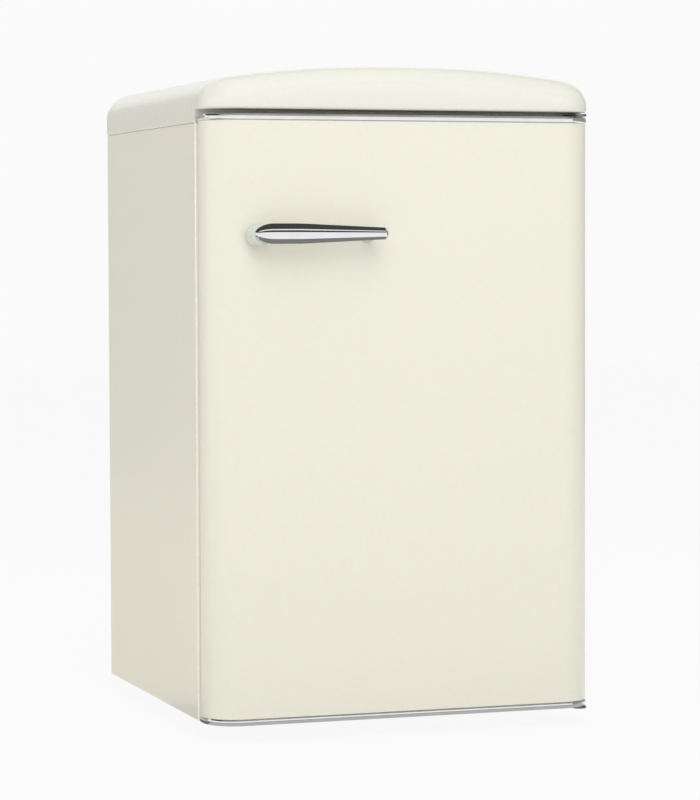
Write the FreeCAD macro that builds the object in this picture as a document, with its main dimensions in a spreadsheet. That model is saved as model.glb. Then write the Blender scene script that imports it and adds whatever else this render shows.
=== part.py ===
import FreeCAD, Part
import os
import re

import Sketcher
from FreeCAD import Placement, Rotation, Vector

# A free-standing under-counter refrigerator with a domed lid and a handle across the door.
# Frame: X to the right, Y to the back, Z up. The origin is on the floor under the middle of the whole.
# Every size below is in millimetres, apart from the counts.

SIZES = (
    # Cabinet
    ("cabinet_width", 548),
    ("cabinet_depth", 480),
    ("cabinet_height", 795),
    ("cabinet_edge_radius", 6),
    ("steel_sheet", 1),
    ("foot_height", 26),
    ("side_insulation", 38),
    ("back_insulation", 45),
    ("top_insulation", 42),
    ("floor_insulation", 42),
    ("step_insulation", 44),
    ("liner_thickness", 2),
    ("liner_corner_radius", 10),
    ("bay_depth", 175),
    ("bay_height", 215),
    ("condenser_recess", 30),
    ("fit_gap", 0.2),
    ("seat_gap", 0.3),
    # Lid
    ("lid_side_overhang", 1),
    ("lid_height", 77),
    ("lid_crown", 22.5),
    ("lid_wall", 3),
    ("lid_edge_radius", 30),
    ("lid_corner_radius", 48),
    ("lid_rear_radius", 62),
    ("lid_rear_lift", 0.5),
    ("lid_front_overhang", 2.5),
    ("lid_rear_overhang", 4),
    ("lid_lip_rise", 17.5),
    ("lid_screw_pitch", 360),
    ("lid_screw_rise", 9),
    ("lid_tab_width", 30),
    ("lid_tab_height", 16),
    # Screws
    ("screw_radius", 2),
    ("screw_head_radius", 4.5),
    ("screw_head_height", 2.6),
    ("screw_length", 12),
    # Door
    ("door_side_setback", 0.5),
    ("door_thickness", 52),
    ("door_gap", 8),
    ("door_corner_radius", 45),
    ("door_return_radius", 4),
    ("door_bottom_drop", 1),
    ("door_top_rise", 11),
    ("door_liner_margin", 6),
    ("trim_height", 8.7),
    ("trim_proud", 1.5),
    ("trim_thickness", 2.5),
    ("gasket_inset", 15),
    ("gasket_width", 18),
    ("gasket_fold", 3),
    # Hinges
    ("hinge_inset", 12.5),
    ("hinge_setback", 24),
    ("hinge_pin_radius", 4),
    ("hinge_running_gap", 0.08),
    ("hinge_bush_wall", 2),
    ("hinge_bush_length", 18),
    ("hinge_plate", 3),
    ("hinge_arm_half_width", 10),
    ("hinge_clearance", 1.7),
    ("hinge_drop", 1.5),
    ("hinge_foot_length", 52),
    ("hinge_foot_extra_width", 24),
    ("hinge_riser_setback", 5),
    ("hinge_boss_radius", 8),
    # Handle
    ("handle_reach", 41),
    ("handle_length", 185),
    ("handle_side_inset", 53.5),
    ("handle_rise", 646),
    ("handle_bar_lift", 2.3),
    ("handle_thick_height", 27),
    ("handle_thin_height", 16),
    ("handle_thick_depth", 22),
    ("handle_thin_depth", 14),
    ("handle_nose_length", 25),
    ("handle_straight_length", 61),
    ("handle_tail_length", 8),
    ("handle_boss_radius", 15),
    ("handle_boss_top_radius", 13),
    ("handle_boss_setback", 11),
    ("handle_post_radius", 7),
    ("handle_post_setback", 20),
    ("handle_seat_depth", 2.5),
    ("handle_screw_bite", 9),
    # Door liner and racks
    ("dike_clearance", 12),
    ("dike_width", 16),
    ("dike_depth", 43),
    ("dike_end_margin", 20),
    ("rack_depth", 88),
    ("rack_side", 7),
    ("rack_wall", 2.5),
    ("rack_side_gap", 0.5),
    ("rack_upper_drop", 190),
    ("rack_spacing", 130),
    ("rack_upper_height", 65),
    ("rack_middle_height", 65),
    ("rack_bottle_height", 90),
    ("rack_bottle_rise", 30),
    ("lug_rise", 20),
    ("lug_height", 8),
    ("lug_length", 20),
    ("lug_depth", 4.5),
    ("lug_setback", 12),
    # Shelves and crisper
    ("shelf_front_setback", 95),
    ("shelf_side_gap", 2),
    ("shelf_rear_gap", 10),
    ("shelf_glass", 4),
    ("upper_shelf_space", 160),
    ("middle_shelf_space", 160),
    ("shelf_trim_depth", 14),
    ("shelf_trim_lap", 3),
    ("shelf_trim_bite", 8),
    ("rail_width", 9),
    ("rail_height", 8),
    ("crisper_side_gap", 5),
    ("crisper_front_setback", 72),
    ("crisper_rear_gap", 4),
    ("crisper_height", 150),
    ("crisper_headroom", 40),
    ("crisper_wall", 2.5),
    ("crisper_grip_depth", 10),
    ("crisper_grip_height", 14),
    # Thermostat, lamp and light switch
    ("housing_depth", 46),
    ("housing_setback", 42),
    ("housing_length", 150),
    ("housing_height", 70),
    ("housing_drop", 15),
    ("housing_wall", 2),
    ("knob_radius", 17),
    ("knob_thickness", 12),
    ("knob_setback", 34),
    ("knob_shaft_radius", 3),
    ("knob_shaft_length", 9),
    ("lamp_setback", 66),
    ("lamp_length", 72),
    ("lamp_height", 48),
    ("lamp_bulge", 3),
    ("plunger_radius", 3),
    ("plunger_length", 26),
    ("plunger_gap", 0.5),
    # Feet and rollers
    ("foot_side_inset", 100),
    ("foot_front_inset", 130),
    ("foot_pad_radius", 19),
    ("foot_pad_height", 9),
    ("foot_socket_depth", 5),
    ("stud_radius", 4),
    ("stud_collar_radius", 6),
    ("stud_hex_width", 13),
    ("stud_hex_height", 6),
    ("stud_hex_rise", 5),
    ("stud_reach", 24),
    ("nut_height", 6.5),
    ("roller_side_inset", 60),
    ("roller_rear_inset", 40),
    ("roller_radius", 12),
    ("roller_width", 16),
    ("roller_axle_radius", 3),
    ("roller_ear_gap", 1),
    ("roller_ear_half_width", 8),
    ("tray_sheet", 2),
    # Cooling circuit
    ("compressor_offset", 60),
    ("compressor_radius", 62),
    ("compressor_wall_height", 85),
    ("compressor_dome_height", 52),
    ("compressor_seam_proud", 4),
    ("compressor_seam_height", 5),
    ("compressor_leg_sheet", 3),
    ("compressor_leg_half_width", 84),
    ("compressor_leg_half_depth", 56),
    ("compressor_bolt_inset", 12),
    ("compressor_bolt_radius", 3.5),
    ("compressor_bolt_cap", 5),
    ("grommet_radius", 10),
    ("grommet_height", 12),
    ("relay_width", 28),
    ("relay_half_depth", 26),
    ("relay_height", 60),
    ("relay_rise", 18),
    ("drip_tray_half_width", 72),
    ("drip_tray_half_depth", 48),
    ("drip_tray_height", 22),
    ("drip_tray_wall", 2),
    ("drain_tube_radius", 6),
    ("drain_bore_radius", 4.5),
    ("drain_setback", 14),
    ("condenser_tube_radius", 2.5),
    ("condenser_run_half", 215),
    ("condenser_pitch", 52),
    ("condenser_runs", 9),
    ("condenser_first_rise", 60),
    ("condenser_plane_setback", 15),
    ("condenser_riser_offset", 16),
    ("condenser_outlet_rise", 53),
    ("wire_radius", 0.8),
    ("wire_end_inset", 6),
    ("wire_count", 20),
    ("wire_overrun", 12),
    ("bracket_width", 10),
    ("bracket_height", 14),
    ("drier_radius", 9),
    ("drier_length", 80),
    ("pipe_bend_radius", 9),
    ("suction_radius", 3.5),
    ("suction_reach", 28),
    ("suction_level", 40),
    ("capillary_radius", 1.2),
    ("capillary_drop", 12),
    ("pipe_entry_rise", 28),
    ("pipe_entry_spacing", 15),
    ("evaporator_sheet", 1.6),
    ("evaporator_side_margin", 55),
    ("evaporator_end_margin", 60),
    ("gland_radius", 8),
    ("gland_bore_radius", 4),
    ("gland_flange_radius", 12),
    ("gland_flange", 3),
    ("gland_length", 9),
    ("gland_offset", -150),
)

# Places worked out from those sizes
PLACES = (
    ("cabinet_half", "cabinet_width / 2"),
    ("overall_depth", "handle_reach + door_thickness + door_gap + cabinet_depth + lid_rear_overhang"),
    ("cabinet_front", "-overall_depth / 2 + handle_reach + door_thickness + door_gap"),
    ("cabinet_rear", "cabinet_front + cabinet_depth"),
    ("cabinet_bottom", "foot_height + 0"),
    ("cabinet_top", "foot_height + cabinet_height"),
    ("liner_half", "cabinet_half - steel_sheet - side_insulation"),
    ("cavity_half", "liner_half - liner_thickness"),
    ("cavity_floor", "cabinet_bottom + steel_sheet + floor_insulation + liner_thickness"),
    ("cavity_ceiling", "cabinet_top - steel_sheet - top_insulation - liner_thickness"),
    ("panel_rear", "cabinet_rear - condenser_recess"),
    ("panel_front", "panel_rear - steel_sheet"),
    ("cavity_back", "panel_front - back_insulation - liner_thickness"),
    ("bay_front", "cabinet_rear - bay_depth"),
    ("bay_roof", "cabinet_bottom + bay_height"),
    ("step_front", "bay_front - steel_sheet - step_insulation - liner_thickness"),
    ("step_top", "bay_roof + steel_sheet + step_insulation + liner_thickness"),
    ("inside_half", "cabinet_half - steel_sheet - fit_gap"),
    ("door_half", "cabinet_half - door_side_setback"),
    ("door_back", "cabinet_front - door_gap"),
    ("door_front", "door_back - door_thickness"),
    ("door_bottom", "cabinet_bottom - door_bottom_drop"),
    ("door_top", "cabinet_top + door_top_rise"),
    ("skin_bottom", "door_bottom + trim_height"),
    ("skin_top", "door_top - trim_height"),
    ("hinge_x", "door_half - hinge_inset"),
    ("hinge_y", "door_back - hinge_setback"),
    ("plate_top", "door_bottom - hinge_drop"),
    ("plate_bottom", "plate_top - hinge_plate"),
    ("arm_bottom", "door_top + hinge_clearance"),
    ("arm_top", "arm_bottom + hinge_plate"),
    ("lid_half", "cabinet_half + lid_side_overhang"),
    ("lid_front", "door_front - lid_front_overhang"),
    ("lid_rear", "cabinet_rear + lid_rear_overhang"),
    ("lid_top", "cabinet_top + lid_height"),
    ("lid_lip", "cabinet_top + lid_lip_rise"),
    ("crown_radius", "(lid_half * lid_half + lid_crown * lid_crown) / (2 * lid_crown)"),
    ("handle_level", "cabinet_bottom + handle_rise"),
    ("bar_level", "handle_level + handle_bar_lift"),
    ("handle_axis_y", "door_front - handle_reach + handle_thick_depth / 2"),
    ("handle_left", "handle_side_inset - door_half"),
    ("handle_right", "handle_left + handle_length"),
    ("boss_x", "handle_left + handle_boss_setback"),
    ("post_x", "handle_right - handle_post_setback"),
    ("handle_seat_y", "handle_axis_y + handle_seat_depth"),
    ("dike_outer", "cavity_half - dike_clearance"),
    ("dike_inner", "dike_outer - dike_width"),
    ("dike_rear", "door_back + dike_depth"),
    ("dike_bottom", "cavity_floor + dike_end_margin"),
    ("dike_top", "cavity_ceiling - dike_end_margin"),
    ("rack_half", "dike_inner - rack_side_gap"),
    ("rack_upper_bottom", "cavity_ceiling - rack_upper_drop"),
    ("rack_middle_bottom", "rack_upper_bottom - rack_spacing"),
    ("rack_bottle_bottom", "cavity_floor + crisper_height + rack_bottle_rise"),
    ("upper_shelf_level", "cavity_ceiling - upper_shelf_space"),
    ("middle_shelf_level", "upper_shelf_level - middle_shelf_space"),
    ("crisper_cover_level", "cavity_floor + crisper_height + crisper_headroom"),
    ("shelf_front", "cabinet_front + shelf_front_setback"),
    ("shelf_back", "cavity_back - shelf_rear_gap"),
    ("shelf_half", "cavity_half - shelf_side_gap"),
    ("crisper_half", "dike_inner - crisper_side_gap"),
    ("crisper_front", "cabinet_front + crisper_front_setback"),
    ("crisper_back", "step_front - crisper_rear_gap"),
    ("crisper_bottom", "cavity_floor + seat_gap"),
    ("crisper_top", "crisper_bottom + crisper_height"),
    ("housing_face", "cavity_half - housing_depth"),
    ("housing_front", "cabinet_front + housing_setback"),
    ("housing_back", "housing_front + housing_length"),
    ("housing_top", "cavity_ceiling - housing_drop"),
    ("housing_bottom", "housing_top - housing_height"),
    ("housing_middle", "(housing_top + housing_bottom) / 2"),
    ("knob_y", "housing_front + knob_setback"),
    ("lamp_front", "housing_front + lamp_setback"),
    ("plunger_x", "(dike_inner + dike_outer) / 2"),
    ("plunger_tip", "dike_rear + plunger_gap"),
    ("foot_x", "cabinet_half - foot_side_inset"),
    ("foot_y", "cabinet_front + foot_front_inset"),
    ("collar_bottom", "foot_pad_height - foot_socket_depth + seat_gap"),
    ("hex_bottom", "foot_pad_height + stud_hex_rise"),
    ("stud_top", "cabinet_bottom + stud_reach"),
    ("roller_x", "cabinet_half - roller_side_inset"),
    ("roller_y", "cabinet_rear - roller_rear_inset"),
    ("roller_half", "roller_width / 2"),
    ("ear_inner", "roller_half + roller_ear_gap"),
    ("tray_top", "cabinet_bottom + tray_sheet"),
    ("tray_front", "bay_front + fit_gap"),
    ("compressor_y", "cabinet_rear - bay_depth / 2"),
    ("legs_bottom", "tray_top + grommet_height"),
    ("shell_bottom", "legs_bottom + compressor_leg_sheet"),
    ("shell_seam", "shell_bottom + compressor_wall_height"),
    ("shell_top", "shell_seam + compressor_dome_height"),
    ("bolt_x", "compressor_leg_half_width - compressor_bolt_inset"),
    ("bolt_y", "compressor_leg_half_depth - compressor_bolt_inset"),
    ("drip_bottom", "shell_top + seat_gap"),
    ("drip_top", "drip_bottom + drip_tray_height"),
    ("drain_y", "cavity_back - drain_setback"),
    ("coil_plane", "cabinet_rear - condenser_plane_setback"),
    ("coil_lowest", "bay_roof + condenser_first_rise"),
    ("coil_highest", "coil_lowest + condenser_pitch * (condenser_runs - 1)"),
    ("riser_x", "condenser_run_half + condenser_riser_offset"),
    ("outlet_level", "shell_bottom + condenser_outlet_rise"),
    ("wire_offset", "condenser_tube_radius + fit_gap + wire_radius"),
    ("wire_pitch", "2 * (condenser_run_half - wire_end_inset) / (wire_count - 1)"),
    ("bracket_x", "7 * wire_pitch"),
    ("drier_top", "coil_lowest - condenser_pitch"),
    ("drier_bottom", "drier_top - drier_length"),
    ("suction_x", "compressor_offset + compressor_radius + suction_reach"),
    ("capillary_x", "suction_x + pipe_entry_spacing"),
    ("pipe_entry", "bay_roof + pipe_entry_rise"),
    ("suction_y", "panel_rear + suction_radius * 2"),
    ("evaporator_front", "cavity_back + liner_thickness + fit_gap"),
    ("evaporator_half", "cavity_half - evaporator_side_margin"),
    ("evaporator_bottom", "step_top + evaporator_end_margin"),
    ("evaporator_top", "cavity_ceiling - evaporator_end_margin"),
    ("pipe_end_y", "evaporator_front + suction_radius"),
    ("gland_level", "bay_roof + pipe_entry_rise"),
)

NAMES = {name: "Sizes" for name, _ in SIZES}
NAMES.update({name: "Places" for name, _ in PLACES})


def cells(text):
    """An expression in plain names, with each name written as its cell."""
    return re.sub(r"[a-z][a-z_0-9]*", lambda word: in_cell(word.group(0)), str(text))


def in_cell(word):
    """The cell of one name, or the word itself where it is a function."""
    return f"{NAMES[word]}.{word}" if word in NAMES else word


def fill_sheet(sheet_name, rows, lead):
    """A sheet with one named cell per row."""
    sheet = doc.addObject("Spreadsheet::Sheet", sheet_name)
    for row, (alias, content) in enumerate(rows, start=1):
        sheet.set(f"A{row}", alias)
        sheet.set(f"B{row}", lead + (cells(content) if lead else str(content)))
        sheet.setAlias(f"B{row}", alias)
    doc.recompute()
    return sheet


doc = FreeCAD.newDocument("RetroRefrigerator")
sizes = fill_sheet("Sizes", SIZES, "")
places = fill_sheet("Places", PLACES, "=")
pieces = []


def number(text):
    """The value of an expression in plain names."""
    return float(sizes.evalExpression(cells(text)))


def piece(label, made):
    """Name a finished object as one of the refrigerator's pieces."""
    made.Label = label
    pieces.append(made)
    return made


# Solids from boxes, rods and their combinations


def box(name, x, y, z):
    """A box between a low and a high place on each axis."""
    made = doc.addObject("Part::Box", name)
    for (low, high), length, axis in zip((x, y, z), ("Length", "Width", "Height"), "xyz"):
        made.setExpression(length, cells(f"({high}) - ({low})"))
        made.setExpression(f"Placement.Base.{axis}", cells(low))
    return made


TURNS = {
    "x": Rotation(Vector(0, 1, 0), 90),
    "y": Rotation(Vector(1, 0, 0), -90),
    "z": Rotation(),
}


def stand(made, axis, across, low):
    """Put a round solid's base on its axis, at its low end."""
    made.Placement = Placement(Vector(), TURNS[axis])
    others = [name for name in "xyz" if name != axis]
    for name, place in zip(others, across):
        made.setExpression(f"Placement.Base.{name}", cells(place))
    made.setExpression(f"Placement.Base.{axis}", cells(low))


def rod(name, axis, across, span, radius):
    """A round rod along an axis, between two places on it."""
    made = doc.addObject("Part::Cylinder", name)
    low, high = span
    made.setExpression("Radius", cells(radius))
    made.setExpression("Height", cells(f"({high}) - ({low})"))
    stand(made, axis, across, low)
    return made


def taper(name, axis, across, span, radii):
    """A cone's frustum along an axis, with the radius at each end."""
    made = doc.addObject("Part::Cone", name)
    low, high = span
    made.setExpression("Radius1", cells(radii[0]))
    made.setExpression("Radius2", cells(radii[1]))
    made.setExpression("Height", cells(f"({high}) - ({low})"))
    stand(made, axis, across, low)
    return made


def hexagon(name, across, span, flats):
    """An upright hexagonal prism, given its width across the flats."""
    made = doc.addObject("Part::Prism", name)
    low, high = span
    made.Polygon = 6
    made.setExpression("Circumradius", cells(f"({flats}) / sqrt(3)"))
    made.setExpression("Height", cells(f"({high}) - ({low})"))
    stand(made, "z", across, low)
    return made


def joined(name, *solids):
    """Solids fused into one."""
    made = doc.addObject("Part::MultiFuse", name)
    made.Shapes = list(solids)
    made.Refine = True
    return made


def without(name, base, *tools):
    """A solid with others cut away from it."""
    made = doc.addObject("Part::Cut", name)
    made.Base = base
    made.Tool = tools[0] if len(tools) == 1 else group(name + "_tools", *tools)
    return made


def shared(name, *solids):
    """The space that solids have in common."""
    made = doc.addObject("Part::MultiCommon", name)
    made.Shapes = list(solids)
    return made


def group(name, *solids):
    """Separate solids kept side by side."""
    made = doc.addObject("Part::Compound", name)
    made.Links = list(solids)
    return made


# Solids from sketches


def new_sketch(body, name, plane, offset):
    """A sketch on one of its body's origin planes, moved along the plane's normal."""
    made = body.newObject("Sketcher::SketchObject", name)
    support = next(feature for feature in body.Origin.OriginFeatures if feature.Role == plane)
    made.AttachmentSupport = [(support, "")]
    made.MapMode = "FlatFace"
    made.setExpression("AttachmentOffset.Base.z", cells(offset))
    return made


def outline(sketch, corners):
    """A closed run of straight lines through corners that are tied to cells."""
    first = sketch.GeometryCount
    spots = [Vector(number(across), number(up), 0) for across, up in corners]
    count = len(corners)
    for index in range(count):
        sketch.addGeometry(Part.LineSegment(spots[index], spots[(index + 1) % count]))
    for index in range(count):
        following = first + (index + 1) % count
        sketch.addConstraint(Sketcher.Constraint("Coincident", first + index, 2, following, 1))
    for index, (across, up) in enumerate(corners):
        tie(sketch, "DistanceX", first + index, across)
        tie(sketch, "DistanceY", first + index, up)


def tie(sketch, kind, line, place):
    """Hold the start of a line at a place measured from the sketch's origin."""
    made = sketch.addConstraint(Sketcher.Constraint(kind, -1, 1, line, 1, number(place)))
    sketch.setExpression(f"Constraints[{made}]", cells(place))


def padded_body(name, plane, offset, length, *outlines):
    """A body padded from closed outlines, where a second outline inside the first is a hole."""
    body = doc.addObject("PartDesign::Body", name)
    sketch = new_sketch(body, name + "_sketch", plane, offset)
    for corners in outlines:
        outline(sketch, corners)
    pad = body.newObject("PartDesign::Pad", name + "_pad")
    pad.Profile = sketch
    pad.setExpression("Length", cells(length))
    doc.recompute()
    return body


def rectangle(left, right, low, high):
    """The corners of an upright rectangle."""
    return ((left, low), (right, low), (right, high), (left, high))


def round_edges(body, name, chosen, radius):
    """Round the edges of a body that a test picks out."""
    base = body.Tip
    edges = [f"Edge{n}" for n, edge in enumerate(base.Shape.Edges, start=1) if chosen(edge)]
    fillet = body.newObject("PartDesign::Fillet", name)
    fillet.Base = (base, edges)
    fillet.setExpression("Radius", cells(radius))
    doc.recompute()
    return body


def hollow(body, name, open_faces, wall):
    """Hollow a body inwards, open at the faces that a test picks out."""
    base = body.Tip
    faces = [f"Face{n}" for n, face in enumerate(base.Shape.Faces, start=1) if open_faces(face)]
    shell = body.newObject("PartDesign::Thickness", name)
    shell.Base = (base, faces)
    shell.Reversed = True
    shell.setExpression("Value", cells(wall))
    doc.recompute()
    return body


NEAR = 1e-4


def lies_at(shape, axis, place):
    """Whether a face or an edge lies wholly at a place on an axis."""
    bounds = shape.BoundBox
    low = getattr(bounds, axis + "Min")
    high = getattr(bounds, axis + "Max")
    return abs(low - place) < NEAR and abs(high - place) < NEAR


def runs_along(edge, axis):
    """Whether an edge is straight along an axis."""
    lengths = [getattr(edge.BoundBox, name + "Length") for name in "XYZ" if name != axis]
    return max(lengths) < NEAR


def upright_at(y):
    """A test for upright edges at one depth."""
    place = number(y)
    return lambda edge: runs_along(edge, "Z") and lies_at(edge, "Y", place)


# Cabinet


def build_cabinet():
    """The painted wrap, the sheets that close it, the liner and the foam between them."""
    wrap = padded_body(
        "wrap",
        "XY_Plane",
        "cabinet_bottom",
        "cabinet_height",
        rectangle("-cabinet_half", "cabinet_half", "cabinet_front", "cabinet_rear"),
    )
    round_edges(wrap, "wrap_edges", upright_at("cabinet_front"), "cabinet_edge_radius")
    bottom, rear = number("cabinet_bottom"), number("cabinet_rear")
    hollow(
        wrap,
        "wrap_wall",
        lambda face: lies_at(face, "Z", bottom) or lies_at(face, "Y", rear),
        "steel_sheet",
    )
    opening = box(
        "wrap_opening",
        ("-liner_half - fit_gap", "liner_half + fit_gap"),
        ("cabinet_front - steel_sheet", "cabinet_front + 2 * steel_sheet"),
        ("cabinet_bottom - steel_sheet", "cavity_ceiling + liner_thickness + fit_gap"),
    )
    tabs = [
        box(
            f"lid_tab_{side}",
            (
                f"{sign} * lid_screw_pitch / 2 - lid_tab_width / 2",
                f"{sign} * lid_screw_pitch / 2 + lid_tab_width / 2",
            ),
            ("cabinet_rear - steel_sheet", "cabinet_rear"),
            ("cabinet_top - steel_sheet", "cabinet_top + lid_tab_height"),
        )
        for side, sign in SIDES
    ]
    bores = lid_screw_rods(
        "wrap_lid_bore", "cabinet_rear - 2 * steel_sheet", "lid_rear", "screw_radius + fit_gap",
    )
    bores += hinge_screw_rods("wrap_hinge_bore", "top", "screw_radius + fit_gap")
    piece(
        "cabinet_wrap",
        without("wrap_bored", joined("wrap_whole", without("wrap_open", wrap, opening), *tabs), *bores),
    )

    panel = box(
        "panel",
        ("-inside_half", "inside_half"),
        ("panel_front", "panel_rear"),
        ("bay_roof", "cabinet_top - steel_sheet - fit_gap"),
    )
    panel_holes = [
        rod("panel_suction", "y", ("suction_x", "pipe_entry"), PANEL_SPAN, "suction_radius + seat_gap"),
        rod(
            "panel_capillary",
            "y",
            ("capillary_x", "pipe_entry"),
            PANEL_SPAN,
            "capillary_radius + seat_gap",
        ),
        rod("panel_gland", "y", ("gland_offset", "gland_level"), PANEL_SPAN, "gland_radius + fit_gap"),
    ]
    piece("back_panel", without("panel_bored", panel, *panel_holes))

    pan = padded_body(
        "pan",
        "YZ_Plane",
        "-inside_half",
        "2 * inside_half",
        (
            ("cabinet_front + steel_sheet + fit_gap", "cabinet_bottom"),
            ("bay_front", "cabinet_bottom"),
            ("bay_front", "bay_roof"),
            ("panel_front - fit_gap", "bay_roof"),
            ("panel_front - fit_gap", "bay_roof + steel_sheet"),
            ("bay_front - steel_sheet", "bay_roof + steel_sheet"),
            ("bay_front - steel_sheet", "cabinet_bottom + steel_sheet"),
            ("cabinet_front + steel_sheet + fit_gap", "cabinet_bottom + steel_sheet"),
        ),
    )
    pan_front = "cabinet_front + steel_sheet + fit_gap"
    round_edges(
        pan, "pan_front_edges", upright_at(pan_front), "cabinet_edge_radius - steel_sheet - fit_gap",
    )
    pan_holes = foot_rods(
        "pan_foot",
        "cabinet_bottom - steel_sheet",
        "cabinet_bottom + 2 * steel_sheet",
        "stud_radius + seat_gap",
    )
    pan_holes += hinge_screw_rods("pan_hinge_bore", "bottom", "screw_radius + fit_gap")
    pan_holes.append(
        rod(
            "pan_drain",
            "z",
            ("0", "drain_y"),
            ("bay_roof - steel_sheet", "bay_roof + 2 * steel_sheet"),
            "drain_tube_radius + fit_gap",
        )
    )
    piece("base_pan", without("pan_bored", pan, *pan_holes))

    piece(
        "front_rail",
        box(
            "rail",
            ("-liner_half", "liner_half"),
            ("cabinet_front", "cabinet_front + steel_sheet"),
            ("cabinet_bottom", "cavity_floor - liner_thickness - fit_gap"),
        ),
    )
    build_liner()
    build_foam()


SIDES = (("left", "-1"), ("right", "1"))
PANEL_SPAN = ("panel_front - steel_sheet", "panel_rear + steel_sheet")


def cavity_outline(grow, front):
    """The side view of the cold space and its step, grown on every side but the front."""
    return (
        (front, f"cavity_floor - ({grow})"),
        (f"step_front + ({grow})", f"cavity_floor - ({grow})"),
        (f"step_front + ({grow})", f"step_top - ({grow})"),
        (f"cavity_back + ({grow})", f"step_top - ({grow})"),
        (f"cavity_back + ({grow})", f"cavity_ceiling + ({grow})"),
        (front, f"cavity_ceiling + ({grow})"),
    )


def cavity_body(name, half, grow, front, radius):
    """The cold space as a solid, rounded along its ceiling, its back corners and its floor."""
    width = f"2 * ({half})"
    body = padded_body(name, "YZ_Plane", f"-({half})", width, cavity_outline(grow, front))
    floor = number(f"cavity_floor - ({grow})")
    ceiling = number(f"cavity_ceiling + ({grow})")
    back = number(f"cavity_back + ({grow})")

    def rounded(edge):
        along_side = runs_along(edge, "Y") and (lies_at(edge, "Z", floor) or lies_at(edge, "Z", ceiling))
        along_back = lies_at(edge, "Y", back) and (runs_along(edge, "Z") or lies_at(edge, "Z", ceiling))
        return along_side or along_back

    return round_edges(body, name + "_round", rounded, radius)


def build_liner():
    """The liner, moulded as a tub, a hood and a back that meet edge to edge, and the rails for the shelves.

    The tub ends at the top of the step, which holds the drain hole.
    """
    outer = cavity_body(
        "liner_outer",
        "liner_half",
        "liner_thickness",
        "cabinet_front",
        "liner_corner_radius + liner_thickness",
    )
    inner = cavity_body(
        "liner_inner", "cavity_half", "0", "cabinet_front - liner_thickness", "liner_corner_radius",
    )
    shell = without("liner_shell", outer, inner)
    rails = []
    for name, level, back in SHELVES:
        for side, sign in SIDES:
            edges = sorted(
                (
                    f"{sign} * (cavity_half - rail_width)",
                    f"{sign} * (cavity_half - fit_gap)",
                ),
                key=number,
            )
            rails.append(
                box(
                    f"rail_{name}_{side}",
                    edges,
                    (
                        "shelf_front + shelf_trim_depth + shelf_trim_lap",
                        f"{back} - shelf_trim_depth - shelf_trim_lap",
                    ),
                    (f"{level} - fit_gap - rail_height", f"{level} - fit_gap"),
                )
            )
    drain = rod(
        "liner_drain",
        "z",
        ("0", "drain_y"),
        ("step_top - 2 * liner_thickness", "step_top + liner_thickness"),
        "drain_bore_radius",
    )
    bored = without("liner_bored", shell, drain)
    across = ("-liner_half", "liner_half")
    ends = ("cabinet_front", "cavity_back + liner_thickness")
    seam = "cavity_back - liner_corner_radius"
    low = ("cavity_floor - liner_thickness", "step_top")
    high = ("step_top", "cavity_ceiling + liner_thickness")
    spaces = {
        "tub": box("liner_tub_space", across, ends, low),
        "hood": box("liner_hood_space", across, (ends[0], seam), high),
        "back": box("liner_back_space", across, (seam, ends[1]), high),
    }
    shells = [shared("liner_" + name, bored, space) for name, space in spaces.items()]
    piece("inner_liner", group("liner_shells", *shells))
    piece("shelf_rails", group("shelf_rail_set", *rails))


SHELVES = (
    ("upper", "upper_shelf_level", "shelf_back"),
    ("middle", "middle_shelf_level", "shelf_back"),
    ("lower", "crisper_cover_level", "(step_front - shelf_rear_gap)"),
)


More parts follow.
